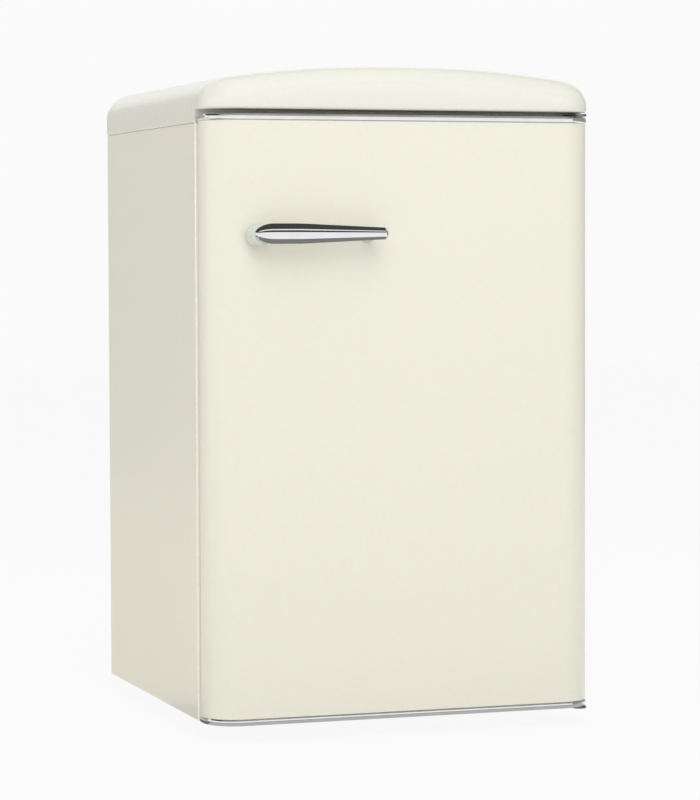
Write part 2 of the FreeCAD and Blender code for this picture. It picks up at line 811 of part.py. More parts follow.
def build_foam():
    """The insulation between the wrap and the liner, with room for what passes through it."""
    front = "cabinet_front + steel_sheet + fit_gap"
    rear = "panel_front - fit_gap"
    bottom = "cabinet_bottom + steel_sheet + fit_gap"
    top = "cabinet_top - steel_sheet - fit_gap"
    under_step = "bay_roof + steel_sheet + fit_gap"
    before_bay = "bay_front - steel_sheet - fit_gap"
    block = padded_body(
        "foam_block",
        "YZ_Plane",
        "-inside_half",
        "2 * inside_half",
        (
            (front, bottom),
            (before_bay, bottom),
            (before_bay, under_step),
            (rear, under_step),
            (rear, top),
            (front, top),
        ),
    )
    around_corner = "cabinet_edge_radius - steel_sheet - fit_gap"
    round_edges(block, "foam_front_edges", upright_at(front), around_corner)
    reach = "liner_thickness + fit_gap"
    cavity = padded_body(
        "foam_cavity",
        "YZ_Plane",
        "-liner_half - fit_gap",
        "2 * (liner_half + fit_gap)",
        cavity_outline(reach, "cabinet_front - steel_sheet"),
    )
    room = [cavity]
    room += foot_rods("foam_foot", "cabinet_bottom", "stud_top + 2 * seat_gap", "stud_hex_width")
    room += hinge_screw_rods("foam_top_screw", "top", "screw_radius + fit_gap")
    room += hinge_screw_rods("foam_bottom_screw", "bottom", "screw_radius + fit_gap")
    room.append(
        box(
            "foam_evaporator",
            ("-evaporator_half - fit_gap", "evaporator_half + fit_gap"),
            ("cavity_back", "evaporator_front + evaporator_sheet + fit_gap"),
            ("evaporator_bottom - fit_gap", "evaporator_top + fit_gap"),
        )
    )
    for name, x, radius in (
        ("suction", "suction_x", "suction_radius"), ("capillary", "capillary_x", "capillary_radius"),
    ):
        wide = f"{radius} + pipe_bend_radius"
        room.append(
            box(
                f"foam_{name}",
                (f"{x} - {radius} - seat_gap", f"{x} + {radius} + seat_gap"),
                (f"pipe_end_y - {radius} - seat_gap", "panel_front"),
                (f"pipe_entry - {radius} - seat_gap", f"pipe_entry + {wide}"),
            )
        )
        room.append(
            box(
                f"foam_{name}_up",
                (f"{x} - {radius} - seat_gap", f"{x} + {radius} + seat_gap"),
                (f"pipe_end_y - {radius} - seat_gap", f"pipe_end_y + {wide}"),
                ("pipe_entry", "evaporator_bottom"),
            )
        )
    room.append(
        rod(
            "foam_gland",
            "y",
            ("gland_offset", "gland_level"),
            ("panel_front - gland_length - seat_gap", "panel_front"),
            "gland_radius + fit_gap",
        )
    )
    room.append(
        rod(
            "foam_drain",
            "z",
            ("0", "drain_y"),
            ("bay_roof", "step_top"),
            "drain_tube_radius + fit_gap",
        )
    )
    piece("insulation_foam", without("foam", block, *room))


# Lid


def lid_screw_rods(name, low, high, radius):
    """A rod along each lid screw."""
    level = "cabinet_top + lid_screw_rise"
    return [
        rod(f"{name}_{side}", "y", (f"{sign} * lid_screw_pitch / 2", level), (low, high), radius)
        for side, sign in SIDES
    ]


def lid_form(name, inset, bottom):
    """The lid's domed form, drawn in on every side."""
    half = f"(lid_half - {inset})"
    radius = f"(crown_radius - {inset})"
    side_top = f"lid_top - crown_radius + sqrt({radius} * {radius} - {half} * {half})"
    body = doc.addObject("PartDesign::Body", name)
    sketch = new_sketch(body, name + "_sketch", "XZ_Plane", f"-(lid_rear - {inset})")
    corners = [Vector(number(x), number(z), 0) for x, z in rectangle(f"-{half}", half, bottom, side_top)]
    low_left, low_right, high_right, high_left = corners
    crest = Vector(0, number(f"lid_top - {inset}"), 0)
    sketch.addGeometry(Part.LineSegment(low_left, low_right))
    sketch.addGeometry(Part.LineSegment(low_right, high_right))
    sketch.addGeometry(Part.Arc(high_right, crest, high_left))
    sketch.addGeometry(Part.LineSegment(high_left, low_left))
    sketch.addConstraint(Sketcher.Constraint("Coincident", 0, 2, 1, 1))
    sketch.addConstraint(Sketcher.Constraint("Coincident", 1, 2, 2, 1))
    sketch.addConstraint(Sketcher.Constraint("Coincident", 2, 2, 3, 1))
    sketch.addConstraint(Sketcher.Constraint("Coincident", 3, 2, 0, 1))
    for line, across, up in ((0, f"-{half}", bottom), (1, half, bottom), (3, f"-{half}", side_top)):
        tie(sketch, "DistanceX", line, across)
        tie(sketch, "DistanceY", line, up)
    sketch.addConstraint(Sketcher.Constraint("Vertical", 1))
    made = sketch.addConstraint(Sketcher.Constraint("Radius", 2, number(radius)))
    sketch.setExpression(f"Constraints[{made}]", cells(radius))
    pad = body.newObject("PartDesign::Pad", name + "_pad")
    pad.Profile = sketch
    pad.setExpression("Length", cells(f"lid_rear - lid_front - 2 * {inset}"))
    doc.recompute()
    round_edges(body, name + "_corners", upright_at(f"lid_front + {inset}"), f"lid_corner_radius - {inset}")
    side_low, rear = number(side_top), number(f"lid_rear - {inset}")
    round_edges(
        body,
        name + "_edges",
        lambda edge: edge.BoundBox.ZMin > side_low - 1 and not lies_at(edge, "Y", rear),
        f"lid_edge_radius - {inset}",
    )
    tail = padded_body(
        name + "_tail",
        "YZ_Plane",
        "-lid_half",
        "2 * lid_half",
        rectangle(
            f"lid_front + {inset}", f"lid_rear - {inset}", bottom, f"lid_top - {inset} + lid_rear_lift",
        ),
    )
    above = number(f"lid_top - {inset} + lid_rear_lift")
    round_edges(
        tail,
        name + "_tail_edge",
        lambda edge: lies_at(edge, "Y", rear) and lies_at(edge, "Z", above),
        f"lid_rear_radius - {inset}",
    )
    return shared(name + "_form", body, tail)


def build_lid():
    """The moulded lid, closed under its front overhang, and the screws at its back."""
    outer = lid_form("lid_outer", "0", "cabinet_top")
    inner = lid_form("lid_inner", "lid_wall", "cabinet_top - lid_wall")
    wide = ("-2 * lid_half", "2 * lid_half")
    lip = box(
        "lid_lip_cut", wide, ("2 * lid_front", "cabinet_front"), ("cabinet_top - lid_wall", "lid_lip"),
    )
    floor = box(
        "lid_front_floor",
        wide,
        ("2 * lid_front", "cabinet_front + lid_wall"),
        ("cabinet_top - 2 * lid_wall", "lid_lip + lid_wall"),
    )
    notch = box(
        "lid_hinge_notch",
        ("hinge_x - hinge_arm_half_width - seat_gap", "hinge_x + hinge_arm_half_width + seat_gap"),
        ("cabinet_front - lid_wall", "cabinet_front + 2 * lid_wall"),
        ("cabinet_top - lid_wall", "arm_top + seat_gap"),
    )
    sunk = [
        taper(
            f"lid_countersink_{side}",
            "y",
            (f"{sign} * lid_screw_pitch / 2", "cabinet_top + lid_screw_rise"),
            ("lid_rear - screw_head_height", "lid_rear"),
            ("screw_radius + fit_gap", "screw_head_radius + fit_gap"),
        )
        for side, sign in SIDES
    ]
    bores = lid_screw_rods("lid_bore", "lid_rear - 2 * lid_wall", "lid_rear", "screw_radius + fit_gap")
    shell = without("lid_shell", without("lid_stepped", outer, lip), without("lid_room", inner, floor))
    piece("top_lid", without("lid_bored", shell, notch, *bores, *sunk))
    screws = []
    for side, sign in SIDES:
        spot = (f"{sign} * lid_screw_pitch / 2", "cabinet_top + lid_screw_rise")
        head_start = "lid_rear - screw_head_height"
        shank = rod(f"lid_shank_{side}", "y", spot, ("lid_rear - screw_length", head_start), "screw_radius")
        head = taper(
            f"lid_head_{side}",
            "y",
            spot,
            (head_start, "lid_rear"),
            ("screw_radius", "screw_head_radius"),
        )
        screws.append(joined(f"lid_screw_{side}", shank, head))
    piece("lid_screws", group("lid_screw_pair", *screws))


# Hinges


def hinge_screw_spots():
    """Where the two screws of each hinge stand on its foot."""
    near = "cabinet_front + hinge_riser_setback + hinge_plate + 2 * screw_head_radius"
    far = "cabinet_front + hinge_foot_length - screw_head_radius"
    left = "hinge_x - hinge_arm_half_width - hinge_foot_extra_width / 2"
    return ((left, near), ("hinge_x - screw_head_radius", far))


def hinge_screw_rods(name, place, radius):
    """A rod along each screw of the upper or the lower hinge."""
    spans = {
        "top": ("cabinet_top - screw_length", "cabinet_top + hinge_plate"),
        "bottom": ("plate_bottom", "cabinet_bottom + screw_length"),
    }
    return [
        rod(f"{name}_{number_}", "z", spot, spans[place], radius)
        for number_, spot in enumerate(hinge_screw_spots(), start=1)
    ]


def build_hinges():
    """Both hinge brackets with their pins and screws."""
    left = "hinge_x - hinge_arm_half_width"
    right = "hinge_x + hinge_arm_half_width"
    riser_front = "cabinet_front + hinge_riser_setback"
    riser_back = "cabinet_front + hinge_riser_setback + hinge_plate"
    axis = ("hinge_x", "hinge_y")
    arm = box("upper_arm", (left, right), ("hinge_y", riser_back), ("arm_bottom", "arm_top"))
    arm_end = rod("upper_arm_end", "z", axis, ("arm_bottom", "arm_top"), "hinge_arm_half_width")
    riser = box("upper_riser", (left, right), (riser_front, riser_back), ("cabinet_top", "arm_top"))
    foot = box(
        "upper_foot",
        (f"{left} - hinge_foot_extra_width", right),
        (riser_front, "cabinet_front + hinge_foot_length"),
        ("cabinet_top", "cabinet_top + hinge_plate"),
    )
    upper_bores = hinge_screw_rods("upper_bore", "top", "screw_radius + fit_gap")
    upper_bores.append(
        rod(
            "upper_pin_bore",
            "z",
            axis,
            ("arm_bottom", "arm_top"),
            "hinge_pin_radius + hinge_running_gap",
        )
    )
    piece(
        "upper_hinge_bracket",
        without("upper_bracket", joined("upper_blank", arm, arm_end, riser, foot), *upper_bores),
    )

    plate_span = ("plate_bottom", "plate_top")
    plate = box("lower_plate", (left, right), ("hinge_y", "cabinet_front + hinge_foot_length"), plate_span)
    wide = box(
        "lower_foot",
        (f"{left} - hinge_foot_extra_width", right),
        ("cabinet_front + steel_sheet", "cabinet_front + hinge_foot_length"),
        ("plate_bottom", "cabinet_bottom"),
    )
    end = rod("lower_end", "z", axis, plate_span, "hinge_arm_half_width")
    boss = rod("lower_boss", "z", axis, ("plate_bottom", "door_bottom - seat_gap"), "hinge_boss_radius")
    lower_bores = hinge_screw_rods("lower_bore", "bottom", "screw_radius + fit_gap")
    lower_bores.append(
        rod(
            "lower_pin_bore",
            "z",
            axis,
            ("plate_bottom", "door_bottom"),
            "hinge_pin_radius + hinge_running_gap",
        )
    )
    piece(
        "lower_hinge_bracket",
        without("lower_bracket", joined("lower_blank", plate, wide, end, boss), *lower_bores),
    )

    pin_bite = "(hinge_bush_length - 2)"
    upper_pin = rod("upper_pin", "z", axis, (f"door_top - {pin_bite}", "arm_top"), "hinge_pin_radius")
    lower_pin = rod(
        "lower_pin", "z", axis, ("plate_bottom", f"door_bottom + {pin_bite}"), "hinge_pin_radius",
    )
    piece("hinge_pins", group("pin_pair", upper_pin, lower_pin))

    screws = []
    for place in ("top", "bottom"):
        for index, (x, y) in enumerate(hinge_screw_spots(), start=1):
            if place == "top":
                shank_span = ("cabinet_top - screw_length", "cabinet_top + hinge_plate")
                head_span = ("cabinet_top + hinge_plate", "cabinet_top + hinge_plate + screw_head_height")
            else:
                shank_span = ("plate_bottom", "cabinet_bottom + screw_length")
                head_span = ("plate_bottom - screw_head_height", "plate_bottom")
            shank = rod(f"hinge_shank_{place}_{index}", "z", (x, y), shank_span, "screw_radius")
            head = rod(f"hinge_head_{place}_{index}", "z", (x, y), head_span, "screw_head_radius")
            screws.append(joined(f"hinge_screw_{place}_{index}", shank, head))
    piece("hinge_screws", group("hinge_screw_set", *screws))


# Door


def door_block(name, inset, low, high, front_inset=None, back="door_back", rear_radius=None):
    """A slab with the door's plan, rounded at its front corners, and drawn in or out by an inset."""
    front = f"door_front + ({front_inset or inset})"
    body = padded_body(
        name,
        "XY_Plane",
        low,
        f"({high}) - ({low})",
        rectangle(f"-door_half + ({inset})", f"door_half - ({inset})", front, back),
    )
    round_edges(body, name + "_corners", upright_at(front), f"door_corner_radius - ({inset})")
    if rear_radius:
        round_edges(body, name + "_returns", upright_at(back), rear_radius)
    return body


def open_shell(body, name, low, high, back, wall):
    """Hollow a door slab into the strip that wraps its front and sides."""
    bottom, top, rear = number(low), number(high), number(back)

    def is_open(face):
        return lies_at(face, "Z", bottom) or lies_at(face, "Z", top) or lies_at(face, "Y", rear)

    return hollow(body, name, is_open, wall)


def handle_screw_rods(name, low, high, radius):
    """A rod along each handle screw."""
    return [
        rod(f"{name}_{spot}", "y", (spot, "handle_level"), (low, high), radius)
        for spot in ("boss_x", "post_x")
    ]


def build_door():
    """The door's skin, core, end caps, trims, gasket and bushes."""
    skin = door_block("skin", "0", "skin_bottom", "skin_top", rear_radius="door_return_radius")
    skin_room = door_block(
        "skin_room",
        "steel_sheet",
        "skin_bottom - steel_sheet",
        "skin_top + steel_sheet",
        back="door_back - steel_sheet",
        rear_radius="door_return_radius - steel_sheet",
    )
    skin_opening = box(
        "skin_opening",
        ("-door_half + door_return_radius + steel_sheet", "door_half - door_return_radius - steel_sheet"),
        ("door_back - 2 * steel_sheet", "door_back + steel_sheet"),
        ("skin_bottom - steel_sheet", "skin_top + steel_sheet"),
    )
    screw_holes = handle_screw_rods(
        "skin_bore",
        "door_front - steel_sheet",
        "door_front + 2 * steel_sheet",
        "screw_radius + fit_gap",
    )
    piece("door_skin", without("skin_bored", skin, skin_room, skin_opening, *screw_holes))

    core_inset = "steel_sheet + fit_gap"
    core_low, core_high = "skin_bottom + fit_gap", "skin_top - fit_gap"
    core = door_block(
        "core",
        core_inset,
        core_low,
        core_high,
        back="door_back - liner_thickness - fit_gap",
        rear_radius="door_return_radius",
    )
    axis = ("hinge_x", "hinge_y")
    bush_radius = "hinge_pin_radius + hinge_running_gap + hinge_bush_wall"
    upper_span = ("door_top - hinge_bush_length", "door_top")
    lower_span = ("door_bottom", "door_bottom + hinge_bush_length")
    room = [
        rod(
            "core_upper_bush",
            "z",
            axis,
            ("door_top - hinge_bush_length - fit_gap", "door_top"),
            f"{bush_radius} + fit_gap",
        ),
        rod(
            "core_lower_bush",
            "z",
            axis,
            ("door_bottom", "door_bottom + hinge_bush_length + fit_gap"),
            f"{bush_radius} + fit_gap",
        ),
    ]
    room += handle_screw_rods(
        "core_screw", "door_front", "door_front + screw_length", "screw_head_radius + fit_gap",
    )
    piece("door_foam", without("core_bored", core, *room))

    cap_inset = "trim_thickness - trim_proud + fit_gap"
    cap_spans = (("bottom", "door_bottom", "skin_bottom"), ("top", "skin_top", "door_top"))
    for place, low, high in cap_spans:
        cap = door_block(f"cap_{place}", cap_inset, low, high)
        hole = rod(
            f"cap_{place}_bore",
            "z",
            axis,
            (f"{low} - trim_height", f"{high} + trim_height"),
            f"{bush_radius} + fit_gap",
        )
        piece(f"door_{place}_cap", without(f"cap_{place}_bored", cap, hole))
        strip = door_block(f"strip_{place}", "-trim_proud", low, high)
        piece(
            f"door_{place}_trim",
            open_shell(strip, f"strip_{place}_wall", low, high, "door_back", "trim_thickness"),
        )

    bushes = []
    for place, span in (("upper", upper_span), ("lower", lower_span)):
        sleeve = rod(f"{place}_sleeve", "z", axis, span, bush_radius)
        bore = rod(f"{place}_sleeve_bore", "z", axis, span, "hinge_pin_radius + hinge_running_gap")
        bushes.append(without(f"{place}_bush", sleeve, bore))
    piece("hinge_bushes", group("bush_pair", *bushes))

    edges = ("cabinet_half - gasket_inset", "cabinet_bottom + gasket_inset", "cabinet_top - gasket_inset")
    seal = padded_body(
        "seal",
        "XZ_Plane",
        "-(cabinet_front - seat_gap)",
        "door_gap - seat_gap",
        rectangle(f"-({edges[0]})", edges[0], edges[1], edges[2]),
        rectangle(
            f"-({edges[0]}) + gasket_width",
            f"{edges[0]} - gasket_width",
            f"{edges[1]} + gasket_width",
            f"{edges[2]} - gasket_width",
        ),
    )
    groove_depth = (
        "cabinet_front - door_gap / 2 - gasket_fold / 2",
        "cabinet_front - door_gap / 2 + gasket_fold / 2",
    )
    groove_outer = box(
        "seal_groove_outer",
        ("-cabinet_half", "cabinet_half"),
        groove_depth,
        ("cabinet_bottom", "cabinet_top"),
    )
    groove_inner = box(
        "seal_groove_inner",
        (f"-({edges[0]}) + gasket_fold", f"{edges[0]} - gasket_fold"),
        groove_depth,
        (f"{edges[1]} + gasket_fold", f"{edges[2]} - gasket_fold"),
    )
    piece("door_gasket", without("seal_folded", seal, without("seal_groove", groove_outer, groove_inner)))


def build_door_liner():
    """The moulded door liner with its two upright dikes and the lugs that the racks hang on."""
    sheet = box(
        "door_sheet",
        ("-door_half + door_liner_margin", "door_half - door_liner_margin"),
        ("door_back - liner_thickness", "door_back"),
        ("skin_bottom + fit_gap", "skin_top - fit_gap"),
    )
    solids, hollows, lugs = [sheet], [], []
    for side, sign in SIDES:
        across = sorted((f"{sign} * dike_inner", f"{sign} * dike_outer"), key=number)
        solids.append(
            box(
                f"dike_{side}",
                across,
                ("door_back - liner_thickness", "dike_rear"),
                ("dike_bottom", "dike_top"),
            )
        )
        hollows.append(
            box(
                f"dike_room_{side}",
                (f"{across[0]} + liner_thickness", f"{across[1]} - liner_thickness"),
                ("door_back - 2 * liner_thickness", "dike_rear - liner_thickness"),
                ("dike_bottom + liner_thickness", "dike_top - liner_thickness"),
            )
        )
        for rack, bottom, _ in RACKS:
            lug = sorted(
                (f"{sign} * (dike_inner - lug_depth)", f"{sign} * (dike_inner + liner_thickness / 2)"),
                key=number,
            )
            lugs.append(
                box(
                    f"lug_{rack}_{side}",
                    lug,
                    ("door_back + lug_setback", "door_back + lug_setback + lug_length"),
                    (f"{bottom} + lug_rise", f"{bottom} + lug_rise + lug_height"),
                )
            )
    moulded = without("door_liner_hollow", joined("door_liner_solid", *solids), *hollows)
    piece("door_liner", joined("door_liner_whole", moulded, *lugs))


RACKS = (
    ("upper", "rack_upper_bottom", "rack_upper_height"),
    ("middle", "rack_middle_bottom", "rack_middle_height"),
    ("bottle", "rack_bottle_bottom", "rack_bottle_height"),
)


def build_racks():
    """The three lift-off racks in the door."""
    for name, bottom, height in RACKS:
        front = "door_back + seat_gap"
        rear = "door_back + rack_depth"
        tray = box(
            f"rack_{name}_block",
            ("-rack_half", "rack_half"),
            (front, rear),
            (bottom, f"{bottom} + {height}"),
        )
        tools = [
            box(
                f"rack_{name}_room",
                ("-rack_half + rack_side", "rack_half - rack_side"),
                (f"{front} + rack_wall", f"{rear} - rack_wall"),
                (f"{bottom} + rack_wall", f"{bottom} + {height} + rack_wall"),
            )
        ]
        for side, sign in SIDES:
            groove = (f"{sign} * (dike_inner - lug_depth - seat_gap)", f"{sign} * (dike_inner + seat_gap)")
            tools.append(
                box(
                    f"rack_{name}_groove_{side}",
                    sorted(groove, key=number),
                    (
                        "door_back + lug_setback - seat_gap",
                        "door_back + lug_setback + lug_length + seat_gap",
                    ),
                    (f"{bottom} - seat_gap", f"{bottom} + lug_rise + lug_height + seat_gap"),
                )
            )
        piece(f"{name}_rack", without(f"rack_{name}", tray, *tools))


def bar_end(name, x, size, length, turn):
    """A rounded end of the handle bar, half an ellipsoid."""
    made = doc.addObject("Part::Ellipsoid", name)
    made.setExpression("Radius1", cells(length))
    made.setExpression("Radius2", cells(f"handle_{size}_height / 2"))
    made.setExpression("Radius3", cells(f"handle_{size}_depth / 2"))
    made.Angle1 = 0
    made.Placement = Placement(Vector(), Rotation(Vector(0, 1, 0), turn))
    for axis, place in zip("xyz", (x, "handle_axis_y", "bar_level")):
        made.setExpression(f"Placement.Base.{axis}", cells(place))
    return made


def build_handle():
    """The tapered handle bar, its boss and post, and the screws behind them."""
    nose_end = "handle_left + handle_nose_length"
    tail_start = "handle_right - handle_tail_length"
    stations = (
        ("nose", nose_end, "thick"),
        ("grip", "handle_left + handle_straight_length", "thick"),
        ("tail", tail_start, "thin"),
    )
    sections = []
    for name, x, size in stations:
        section = doc.addObject("Part::Ellipse", f"bar_section_{name}")
        section.setExpression("MajorRadius", cells(f"handle_{size}_height / 2"))
        section.setExpression("MinorRadius", cells(f"handle_{size}_depth / 2"))
        section.Placement = Placement(Vector(), Rotation(Vector(0, 1, 0), -90))
        for axis, place in zip("xyz", (x, "handle_axis_y", "bar_level")):
            section.setExpression(f"Placement.Base.{axis}", cells(place))
        sections.append(section)
    taper_run = doc.addObject("Part::Loft", "bar_taper")
    taper_run.Sections = sections
    taper_run.Solid = True
    taper_run.Ruled = True
    nose = bar_end("bar_nose", nose_end, "thick", "handle_nose_length", -90)
    tail = bar_end("bar_tail", tail_start, "thin", "handle_tail_length", 90)
    bar = joined("bar", nose, taper_run, tail)
    piece("handle_bar", bar)

    boss = taper(
        "boss_blank",
        "y",
        ("boss_x", "handle_level"),
        ("handle_seat_y", "door_front"),
        ("handle_boss_top_radius", "handle_boss_radius"),
    )
    post = rod(
        "post_blank",
        "y",
        ("post_x", "handle_level"),
        ("handle_seat_y", "door_front"),
        "handle_post_radius",
    )
    bites = handle_screw_rods(
        "handle_bite",
        "door_front - handle_screw_bite - seat_gap",
        "door_front",
        "screw_radius + fit_gap",
    )
    piece("handle_boss", without("boss_bored", without("boss_fitted", boss, bar), bites[0]))
    piece("handle_post", without("post_bored", without("post_fitted", post, bar), bites[1]))

    screws = []
    for spot in ("boss_x", "post_x"):
        across = (spot, "handle_level")
        seat = "door_front + steel_sheet + fit_gap"
        shank = rod(
            f"handle_shank_{spot}",
            "y",
            across,
            ("door_front - handle_screw_bite", seat),
            "screw_radius",
        )
        head = rod(
            f"handle_head_{spot}",
            "y",
            across,
            (seat, f"{seat} + screw_head_height"),
            "screw_head_radius",
        )
        screws.append(joined(f"handle_screw_{spot}", shank, head))
    piece("handle_screws", group("handle_screw_pair", *screws))


# Inside fittings


def build_shelves():
    """The glass shelves with the trims along their front and back edges."""
    trims = []
    for name, level, back in SHELVES:
        glass_front = "shelf_front + shelf_trim_depth - shelf_trim_bite"
        glass_back = f"{back} - shelf_trim_depth + shelf_trim_bite"
        top = f"{level} + shelf_glass"
        glass = box(f"glass_{name}", ("-shelf_half", "shelf_half"), (glass_front, glass_back), (level, top))
        piece(f"{name}_shelf_glass", glass)
        slot = box(
            f"slot_{name}",
            ("-cavity_half", "cavity_half"),
            (f"{glass_front} - fit_gap", f"{glass_back} + fit_gap"),
            (f"{level} - fit_gap", f"{top} + fit_gap"),
        )
        spans = (
            ("front", "shelf_front", "shelf_front + shelf_trim_depth"),
            ("back", f"{back} - shelf_trim_depth", back),
        )
        for place, start, end in spans:
            rail = box(
                f"trim_{name}_{place}",
                ("-shelf_half", "shelf_half"),
                (start, end),
                (f"{level} - shelf_trim_lap", f"{top} + shelf_trim_lap"),
            )
            trims.append(without(f"trim_{name}_{place}_slotted", rail, slot))
    piece("shelf_trims", group("shelf_trim_set", *trims))


def build_crisper():
    """The crisper drawer that slides on the liner's floor."""
    block = box(
        "crisper_block",
        ("-crisper_half", "crisper_half"),
        ("crisper_front", "crisper_back"),
        ("crisper_bottom", "crisper_top"),
    )
    grip = box(
        "crisper_grip",
        ("-crisper_half", "crisper_half"),
        ("crisper_front - crisper_grip_depth", "crisper_front"),
        ("crisper_top - crisper_grip_height", "crisper_top"),
    )
    under_grip = box(
        "crisper_grip_room",
        ("-crisper_half + crisper_wall", "crisper_half - crisper_wall"),
        ("crisper_front - crisper_grip_depth + crisper_wall", "crisper_front"),
        ("crisper_top - crisper_grip_height - crisper_wall", "crisper_top - crisper_wall"),
    )
    room = box(
        "crisper_room",
        ("-crisper_half + crisper_wall", "crisper_half - crisper_wall"),
        ("crisper_front + crisper_wall", "crisper_back - crisper_wall"),
        ("crisper_bottom + crisper_wall", "crisper_top + crisper_wall"),
    )
    piece(
        "crisper_drawer",
        without(
            "crisper", joined("crisper_solid", block, without("crisper_lip", grip, under_grip)), room,
        ),
    )


def build_controls():
    """The thermostat housing with its knob, lamp cover and light switch plunger."""
    shell = without(
        "housing_shell",
        box(
            "housing_block",
            ("housing_face", "cavity_half"),
            ("housing_front", "housing_back"),
            ("housing_bottom", "housing_top"),
        ),
        box(
            "housing_room",
            ("housing_face + housing_wall", "cavity_half + housing_wall"),
            ("housing_front + housing_wall", "housing_back - housing_wall"),
            ("housing_bottom + housing_wall", "housing_top - housing_wall"),
        ),
    )
    lamp_y = ("lamp_front", "lamp_front + lamp_length")
    lamp_z = ("housing_middle - lamp_height / 2", "housing_middle + lamp_height / 2")
    window = box(
        "lamp_window",
        ("housing_face - housing_wall", "housing_face + 2 * housing_wall"),
        lamp_y,
        lamp_z,
    )
    knob_at = ("knob_y", "housing_middle")
    shaft_hole = rod(
        "knob_hole",
        "x",
        knob_at,
        ("housing_face - housing_wall", "housing_face + 2 * housing_wall"),
        "knob_shaft_radius + seat_gap",
    )
    plunger_at = ("plunger_x", "housing_middle")
    plunger_hole = rod(
        "plunger_hole",
        "y",
        plunger_at,
        ("housing_front - housing_wall", "housing_front + 2 * housing_wall"),
        "plunger_radius + seat_gap",
    )
    piece("thermostat_housing", without("housing", shell, window, shaft_hole, plunger_hole))

    pane = box(
        "lamp_pane",
        ("housing_face - lamp_bulge", "housing_face + housing_wall"),
        (f"{lamp_y[0]} + fit_gap", f"{lamp_y[1]} - fit_gap"),
        (f"{lamp_z[0]} + fit_gap", f"{lamp_z[1]} - fit_gap"),
    )
    piece("lamp_cover", pane)

    knob_seat = "housing_face - seat_gap"
    disc = rod("knob_disc", "x", knob_at, (f"{knob_seat} - knob_thickness", knob_seat), "knob_radius")
    shaft = rod(
        "knob_shaft",
        "x",
        knob_at,
        (knob_seat, f"{knob_seat} + knob_shaft_length"),
        "knob_shaft_radius",
    )
    piece("thermostat_knob", joined("knob", disc, shaft))

    piece(
        "light_switch_plunger",
        rod("plunger", "y", plunger_at, ("plunger_tip", "plunger_tip + plunger_length"), "plunger_radius"),
    )


# Feet and rollers


def foot_rods(name, low, high, radius):
    """An upright rod at each levelling foot."""
    return [
        rod(f"{name}_{side}", "z", (f"{sign} * foot_x", "foot_y"), (low, high), radius)
        for side, sign in SIDES
    ]


def build_feet():
    """The levelling feet at the front, each a pad and a threaded stud, with the nuts that hold them."""
    nuts = []
    for side, sign in SIDES:
        spot = (f"{sign} * foot_x", "foot_y")
        pad_blank = joined(
            f"pad_{side}_blank",
            rod(f"pad_{side}_base", "z", spot, ("0", "foot_pad_height / 2"), "foot_pad_radius"),
            taper(
                f"pad_{side}_top",
                "z",
                spot,
                ("foot_pad_height / 2", "foot_pad_height"),
                ("foot_pad_radius", "foot_pad_radius - foot_pad_height / 2"),
            ),
        )
        socket = rod(
            f"pad_{side}_socket",
            "z",
            spot,
            ("foot_pad_height - foot_socket_depth", "foot_pad_height + foot_socket_depth"),
            "stud_collar_radius + seat_gap",
        )
        piece(f"{side}_foot_pad", without(f"pad_{side}", pad_blank, socket))
        collar = rod(
            f"stud_{side}_collar", "z", spot, ("collar_bottom", "hex_bottom"), "stud_collar_radius",
        )
        flats = hexagon(
            f"stud_{side}_hex", spot, ("hex_bottom", "hex_bottom + stud_hex_height"), "stud_hex_width",
        )
        shank = rod(f"stud_{side}_shank", "z", spot, ("hex_bottom", "stud_top"), "stud_radius")
        piece(f"{side}_foot_stud", joined(f"stud_{side}", collar, flats, shank))
        seat = "cabinet_bottom + steel_sheet"
        blank = hexagon(f"nut_{side}_blank", spot, (seat, f"{seat} + nut_height"), "stud_hex_width")
        bore = rod(
            f"nut_{side}_bore", "z", spot, (seat, f"{seat} + nut_height"), "stud_radius + seat_gap / 2",
        )
        nuts.append(without(f"nut_{side}", blank, bore))
    return nuts


def build_tray():
    """The compressor tray with the ears of the rear rollers, their axles and the rollers."""
    solids = [
        box(
            "tray_plate",
            ("-inside_half", "inside_half"),
            ("tray_front", "cabinet_rear"),
            ("cabinet_bottom", "tray_top"),
        )
    ]
    holes, axles = [], []
    for side, sign in SIDES:
        middle = f"{sign} * roller_x"
        for place, start, end in (
            ("low", f"{middle} - ear_inner - tray_sheet", f"{middle} - ear_inner"),
            ("high", f"{middle} + ear_inner", f"{middle} + ear_inner + tray_sheet"),
        ):
            solids.append(
                box(
                    f"ear_{side}_{place}",
                    (start, end),
                    ("roller_y - roller_ear_half_width", "roller_y + roller_ear_half_width"),
                    ("roller_radius / 2", "cabinet_bottom + tray_sheet / 2"),
                )
            )
        axle_at = ("roller_y", "roller_radius")
        reach = "ear_inner + 2 * tray_sheet"
        span = (f"{middle} - {reach}", f"{middle} + {reach}")
        holes.append(rod(f"ear_hole_{side}", "x", axle_at, span, "roller_axle_radius + hinge_running_gap"))
        axles.append(rod(f"axle_{side}", "x", axle_at, span, "roller_axle_radius"))
        tread = rod(
            f"roller_{side}_blank",
            "x",
            axle_at,
            (f"{middle} - roller_half", f"{middle} + roller_half"),
            "roller_radius",
        )
        bore = rod(
            f"roller_{side}_bore",
            "x",
            axle_at,
            (f"{middle} - roller_half", f"{middle} + roller_half"),
            "roller_axle_radius + hinge_running_gap",
        )
        piece(f"{side}_rear_roller", without(f"roller_{side}", tread, bore))
    for index, spot in enumerate(bolt_spots()):
        holes.append(
            rod(
                f"tray_bolt_hole_{index}",
                "z",
                spot,
                ("cabinet_bottom", "tray_top"),
                "compressor_bolt_radius + fit_gap",
            )
        )
    piece("compressor_tray", without("tray", joined("tray_whole", *solids), *holes))
    piece("roller_axles", group("axle_pair", *axles))


# Cooling circuit


